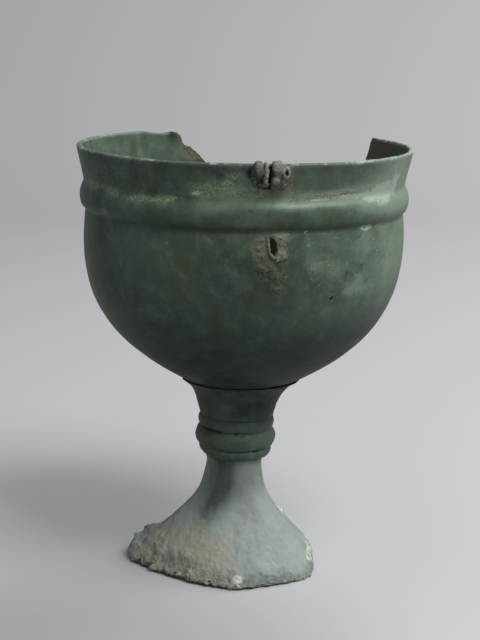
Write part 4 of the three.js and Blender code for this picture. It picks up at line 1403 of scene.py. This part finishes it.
def add_patch(bm, bowl, outline, low, high, step):
    """A thin sheet on the bowl's wall inside an outline of widths and heights."""
    corner, far = np.min(outline, axis=0), np.max(outline, axis=0)
    across, up = (max(int(side / step), 2) for side in far - corner)
    bmesh.ops.create_grid(bm, x_segments=across, y_segments=up, size=0.5)
    for vert in bm.verts:
        vert.co.xy = corner + (np.array(vert.co.xy) + 0.5) * (far - corner)
    faces = list(bm.faces)
    x, y = np.array([f.calc_center_median().xy for f in faces]).T
    lost = [f for f, kept in zip(faces, inside(outline, x, y)) if not kept]
    bmesh.ops.delete(bm, geom=lost, context="FACES")
    grid = list(bm.verts)
    x, y = vertices(bm).T[:2]
    gap, near = border_distance(outline, x, y)
    flat = {}
    for i, vert in enumerate(grid):
        spot = (*near[i], 0) if vert.is_boundary else (x[i], y[i], gap[i])
        flat[vert] = [float(part) for part in spot]
    by_place = {tuple(round(c, 4) for c in vert.co): place for vert, place in flat.items()}
    made = bmesh.ops.extrude_face_region(bm, geom=list(bm.faces))
    for vert in (v for v in made["geom"] if isinstance(v, bmesh.types.BMVert)):
        width, height, depth = by_place[tuple(round(c, 4) for c in vert.co)]
        vert.co = on_wall(bowl, width, height, high(width, height, depth))
    for vert, (width, height, depth) in flat.items():
        vert.co = on_wall(bowl, width, height, low)
    bmesh.ops.recalc_face_normals(bm, faces=bm.faces)


def melted(bm, name, voxel):
    """Joins overlapping lumps into one skin by remeshing them."""
    obj = linked(name, bm)
    mesh = obj.data
    remesh = obj.modifiers.new("melt", "REMESH")
    remesh.mode = "VOXEL"
    remesh.voxel_size = voxel
    smooth = obj.modifiers.new("soften", "SMOOTH")
    smooth.factor = 0.5
    smooth.iterations = 2
    bpy.context.view_layer.update()
    evaluated = obj.evaluated_get(bpy.context.evaluated_depsgraph_get())
    result = bmesh.new()
    result.from_mesh(evaluated.to_mesh())
    evaluated.to_mesh_clear()
    bpy.data.objects.remove(obj)
    bpy.data.meshes.remove(mesh)
    return result


def pitted(bm, depth, seed):
    """Corrodes a lump's surface with bumps and pits."""
    bm.normal_update()
    points = vertices(bm)
    push = depth * (0.7 * fractal(points, 1.7, 3, seed) + 0.6 * fractal(points, 0.7, 2, seed + 1))
    for vert, amount in zip(bm.verts, push):
        vert.co += vert.normal * float(amount)


class CHALICE_OT_hinge(bpy.types.Operator):
    """Makes the corroded lugs on the rim, the strip between them and the broken pin"""

    bl_idname = "chalice.hinge"
    bl_label = "Hinge remains"

    def execute(self, context):
        settings = context.scene.chalice_fitting
        bowl = Bowl()
        voxel, pitting = settings.voxel / MM, settings.pitting / MM
        wall = float(bowl.radius(PIN_HEIGHT))
        pin = -(wall + 2.9)
        bm = bmesh.new()
        plate = ((-5.7, 86.4), (-5.7, 80.4), (-3, 78.3), (5.4, 78.4), (8.2, 81.4), (8.4, 86.4))
        add_patch(bm, bowl, plate, 0.1, lambda w, h, d: 0.35 + min(0.5, d) * 0.7, 0.5)
        for x, out, height, size, power in LUGS:
            add_lump(bm, (x, -(wall + out), height), size, power)
        bm = melted(bm, "hinge_saddle_raw", voxel)
        pitted(bm, pitting, 71)
        saddle = finished("hinge_saddle_lugs", bm, fitting_matrix(), "fitting_bronze", "hinge_saddle")
        self.colour(saddle, bowl)

        bm = bmesh.new()
        for x, out, height, size, power in STRIP:
            add_lump(bm, (x, -(wall + out), height), size, power)
        bm = melted(bm, "hinge_leaf_raw", voxel)
        pitted(bm, pitting * 0.8, 75)
        leaf = finished("hinge_leaf_strip", bm, fitting_matrix(), "fitting_bronze", "hinge_leaf")
        self.colour(leaf, bowl, 0.75)

        for name, left, right, head in (("hinge_pin_left", -4.3, -0.6, 0), ("hinge_pin_right", 1.1, 5, 1)):
            bm = bmesh.new()
            add_bar(bm, left, right, pin, PIN_HEIGHT, 0.9)
            if head:
                add_lump(bm, (5.3, pin + 0.5, 84.3), (1.3, 1.4, 2.2), power=0.85)
            bm = melted(bm, name + "_raw", voxel * 0.8)
            for vert in (v for v in bm.verts if head and v.co.y < pin + 0.4):
                dent = math.hypot(vert.co.x - 5.2, (vert.co.z - 84.2) / 1.6)
                vert.co.y += 0.9 * bell(dent, 0.6)
            pitted(bm, pitting * 0.6, 79)
            piece = finished(name + "_stub", bm, fitting_matrix(), "fitting_bronze", name)
            self.colour(piece, bowl, 0.4)
        return {"FINISHED"}

    def colour(self, piece, bowl, bright=0.0):
        points, radius, _ = in_frame(piece, fitting_matrix())
        x, height = points[:, 0], points[:, 2]
        proud = radius - bowl.radius(np.minimum(height, RIM_HEIGHT))
        wide, close = fractal(points, 3, 3, 81), fractal(points, 0.9, 3, 82)
        low = 1 - ease(proud, 0.6, 1.6)
        right = ease(x, -0.5, 2.5)
        hole = np.hypot(x - 5.2, (height - 84.2) / 1.6)
        glint = bell(np.hypot(x - 2.75, height - 84.9), 0.45)
        left_side = (0.15 + 0.3 * (1 - ease(x, -5.2, -4.2))) * (x < -2.4)
        # Painted shade in the slot between the lugs, in the pit of the ring end, low against the wall and on
        # the left lug. Painted light on the top and right of the lugs and on the leaf and pins. A painted
        # glint on the right lug.
        paint(
            piece,
            dark=(
                0.3 * ease(-close, 0.15, 0.45), 0.75 * bell(x - 0.05, 0.6) * low, 0.9 * bell(hole, 0.6),
                0.15 * ease(-height, -79.6, -78.8),
            ),
            pale=(0.3 * ease(close, 0.15, 0.5), 0.3 * bright, 1.3 * glint),
            crust=(0.5 * low, 0.2 * ease(wide, 0, 0.4)),
            brown=(0.15 * ease(-wide, 0, 0.4), 0.12 * low),
            shade=(0.35 * low * (1 - 0.5 * right), (1 - low) * left_side),
            light=bright,
            bloom=(
                (1 - low) * (0.1 + 0.3 * ease(height, 84, 87) + 0.6 * right), 0.3 * low * right, bright,
            ),
        )


class CHALICE_OT_lower_mount(bpy.types.Operator):
    """Makes the rough bed round the torn slot and the piece of plate left on it"""

    bl_idname = "chalice.lower_mount"
    bl_label = "Lower mount"

    def execute(self, context):
        bowl = Bowl()
        slot = on_fitting(bowl, TEAR)

        def crust(width, height, depth):
            rough = fractal([(width, height, 3.3)], 1.6, 4)[0]
            patchy = fractal([(width, height, 9.1)], 4.5, 2)[0]
            rise = min(depth / 1.4, 1) * (0.28 + 0.24 * rough + 0.28 * patchy)
            gap, _ = border_distance(slot, np.array([width]), np.array([height]))
            lip = bell(gap[0] - 0.5, 0.55) * (0.75 if width < 2.2 else 0.35)
            return max(rise + lip, -0.12)

        bm = bmesh.new()
        add_patch(bm, bowl, on_fitting(bowl, SOLDER_BED), -0.35, crust, 0.22)
        faces = list(bm.faces)
        centres = np.array([f.calc_center_median()[:] for f in faces])
        hit = inside(slot, width_across(bowl, polar(centres)[1]), centres[:, 2])
        bmesh.ops.delete(bm, geom=[f for f, cut in zip(faces, hit) if cut], context="FACES")
        bmesh.ops.bridge_loops(bm, edges=[e for e in bm.edges if e.is_boundary])
        bmesh.ops.recalc_face_normals(bm, faces=bm.faces)
        bed = finished("lower_mount_crust", bm, fitting_matrix(), "solder", "lower_mount_bed")
        self.colour(bed, bowl, slot)

        def torn(width, height, depth):
            return 0.75 + 0.22 * fractal([(width, height, 5)], 1.4)[0] + 0.12 * min(depth, 1)

        bm = bmesh.new()
        add_patch(bm, bowl, on_fitting(bowl, TORN_PLATE), 0.2, torn, 0.22)
        plate = finished("torn_plate_scrap", bm, fitting_matrix(), "fitting_bronze", "torn_plate")
        points, _, _ = in_frame(plate, fitting_matrix())
        paint(plate, brown=0.35 + 0.4 * fractal(points, 2, 3, 91), crust=0.3, pale=0.2, bloom=0.7, light=0.6)
        return {"FINISHED"}

    def colour(self, piece, bowl, slot):
        points, radius, azimuth = in_frame(piece, fitting_matrix())
        width = width_across(bowl, azimuth)
        height = points[:, 2]
        proud = radius - bowl.radius(height)
        wide, close = fractal(points, 4, 3, 92), fractal(points, 1.1, 3, 93)
        gap, _ = border_distance(slot, width, height)
        lip = bell(gap, 0.6)
        lower = 1 - ease(height, 50, 55)
        raised = ease(proud, 0.3, 0.8)
        # Painted shade at the sunk edge of the slot. The flat and lower parts of the bed are darker too.
        paint(
            piece,
            crust=(0.1, 0.25 * raised * (1 - lower), 0.25 * wide),
            pale=(0.4 * lip * (width < 2.2), 0.3 * raised * ease(close, -0.1, 0.3) * (1 - lower)),
            dark=(0.3 * ease(-close, 0.15, 0.45), 0.35 * (proud < 0.05), 0.7 * (proud < -0.05) * lip),
            brown=(0.05, 0.12 * lower),
            shade=(0.16 * (1 - raised), 0.02, 0.15 * lower),
            bloom=0.6 * raised,
        )


# Stage


class CHALICE_OT_stage(bpy.types.Operator):
    """Sets up the pale sweep of floor and backdrop, the soft lights and the camera"""

    bl_idname = "chalice.stage"
    bl_label = "Stage"

    def execute(self, context):
        settings = context.scene.chalice_stage
        context.scene.view_settings.view_transform = "Standard"
        self.sweep(settings)
        self.light("key_light", (0.66, -0.7, 1.32), 0.8, settings.key)
        self.light("side_light", (0.9, 0.62, 1.1), 1.0, settings.side)
        world = bpy.data.worlds.new("studio")
        world.use_nodes = True
        background = world.node_tree.nodes["Background"]
        background.inputs["Color"].default_value = (1, 1, 1, 1)
        background.inputs["Strength"].default_value = settings.ambient
        context.scene.world = world
        camera = bpy.data.objects.new("camera", bpy.data.cameras.new("camera"))
        camera.data.lens = settings.lens
        camera.data.sensor_width = 36
        camera.data.clip_start = 0.01
        camera.location = settings.camera_place
        camera.rotation_euler = (math.radians(90) - settings.camera_tilt, 0, 0)
        context.scene.collection.objects.link(camera)
        context.scene.camera = camera
        return {"FINISHED"}

    def sweep(self, settings):
        """One sheet that runs along the floor and curves up behind the cup."""
        bm = bmesh.new()
        reach, bend, radius = 3, 0.9, 0.6
        turns = np.linspace(0.1, math.pi / 2, 14)
        arc = [(bend + radius * math.sin(t), radius - radius * math.cos(t)) for t in turns]
        profile = [(-reach, 0), (bend, 0), *arc, (bend + radius, reach)]
        verts = [bm.verts.new((-reach, y, z)) for y, z in profile]
        edges = [bm.edges.new(pair) for pair in zip(verts, verts[1:])]
        made = bmesh.ops.extrude_edge_only(bm, edges=edges)["geom"]
        far = [v for v in made if isinstance(v, bmesh.types.BMVert)]
        bmesh.ops.translate(bm, verts=far, vec=(2 * reach, 0, 0))
        bmesh.ops.recalc_face_normals(bm, faces=bm.faces)
        sweep = linked("sweep", bm)
        sweep.data.materials.append(self.paper(settings))

    def paper(self, settings):
        """Grey paper with a painted light falloff, darker on the left, and a painted shadow on the floor in
        front of the cup. It lights the cup with a darker tone than it shows.
        """
        shader = Shader("sweep_paper")
        left, right, near = (tuple(getattr(settings, "sweep_" + side)) for side in ("left", "right", "near"))
        x, y, _ = shader.add("SeparateXYZ", {0: shader.object})
        # Painted light falloff from right to left, and a painted shadow in front of the cup.
        paper = shader.mix(shader.between(x, -0.35, 0.35), left, right)
        floor_shadow = shader.math("MULTIPLY", shader.between(y, 0.02, -0.09), shader.between(x, 0.075, -0.01))
        floor_shadow = shader.math("MULTIPLY", floor_shadow, shader.between(y, -0.7, -0.15))
        paper = shader.mix(floor_shadow, paper, near)
        ray = shader.add("LightPath")
        seen = shader.math("MAXIMUM", ray["Is Camera Ray"], ray["Is Transmission Ray"])
        seen = shader.math("MAXIMUM", seen, shader.math("MULTIPLY", ray["Is Glossy Ray"], 0.3))
        inputs = {"Base Color": shader.mix(seen, tuple(settings.bounce), paper)}
        shader.fill(shader.surface, {**inputs, "Roughness": 0.9, "Specular IOR Level": 0.1})
        return shader.material

    def light(self, name, place, size, power):
        lamp = bpy.data.lights.new(name, "AREA")
        lamp.shape = "SQUARE"
        lamp.size = size
        lamp.energy = power
        obj = bpy.data.objects.new(name, lamp)
        obj.location = place
        obj.rotation_euler = (Vector((0, 0, 0.09)) - Vector(place)).to_track_quat("-Z", "Y").to_euler()
        bpy.context.scene.collection.objects.link(obj)


class CHALICE_PT_panel(bpy.types.Panel):
    """Lists the cup's pieces and settings"""

    bl_label = "Chalice"
    bl_idname = "CHALICE_PT_panel"
    bl_space_type = "VIEW_3D"
    bl_region_type = "UI"
    bl_category = "Chalice"

    def draw(self, context):
        for operator in OPERATORS:
            self.layout.operator(operator.bl_idname)
        for name, group in GROUPS:
            box = self.layout.box()
            box.label(text=name.capitalize())
            for prop in group.__annotations__:
                box.prop(getattr(context.scene, "chalice_" + name), prop)


GROUPS = (
    ("stand", StandSettings), ("bowl", BowlSettings), ("stem", StemSettings),
    ("fitting", FittingSettings), ("patina", PatinaSettings), ("stage", StageSettings),
)
OPERATORS = (
    CHALICE_OT_stage, CHALICE_OT_bowl, CHALICE_OT_joints, CHALICE_OT_stem,
    CHALICE_OT_foot, CHALICE_OT_hinge, CHALICE_OT_lower_mount,
)


def register():
    for name, group in GROUPS:
        bpy.utils.register_class(group)
        setattr(bpy.types.Scene, "chalice_" + name, PointerProperty(type=group))
    for operator in OPERATORS:
        bpy.utils.register_class(operator)
    bpy.utils.register_class(CHALICE_PT_panel)


def unregister():
    bpy.utils.unregister_class(CHALICE_PT_panel)
    for operator in reversed(OPERATORS):
        bpy.utils.unregister_class(operator)
    for name, group in reversed(GROUPS):
        delattr(bpy.types.Scene, "chalice_" + name)
        bpy.utils.unregister_class(group)


def main():
    register()
    make_materials()
    bpy.ops.chalice.stage()
    bpy.ops.chalice.bowl()
    bpy.ops.chalice.joints()
    bpy.ops.chalice.stem()
    bpy.ops.chalice.foot()
    bpy.ops.chalice.hinge()
    bpy.ops.chalice.lower_mount()


if __name__ == "__main__":
    main()
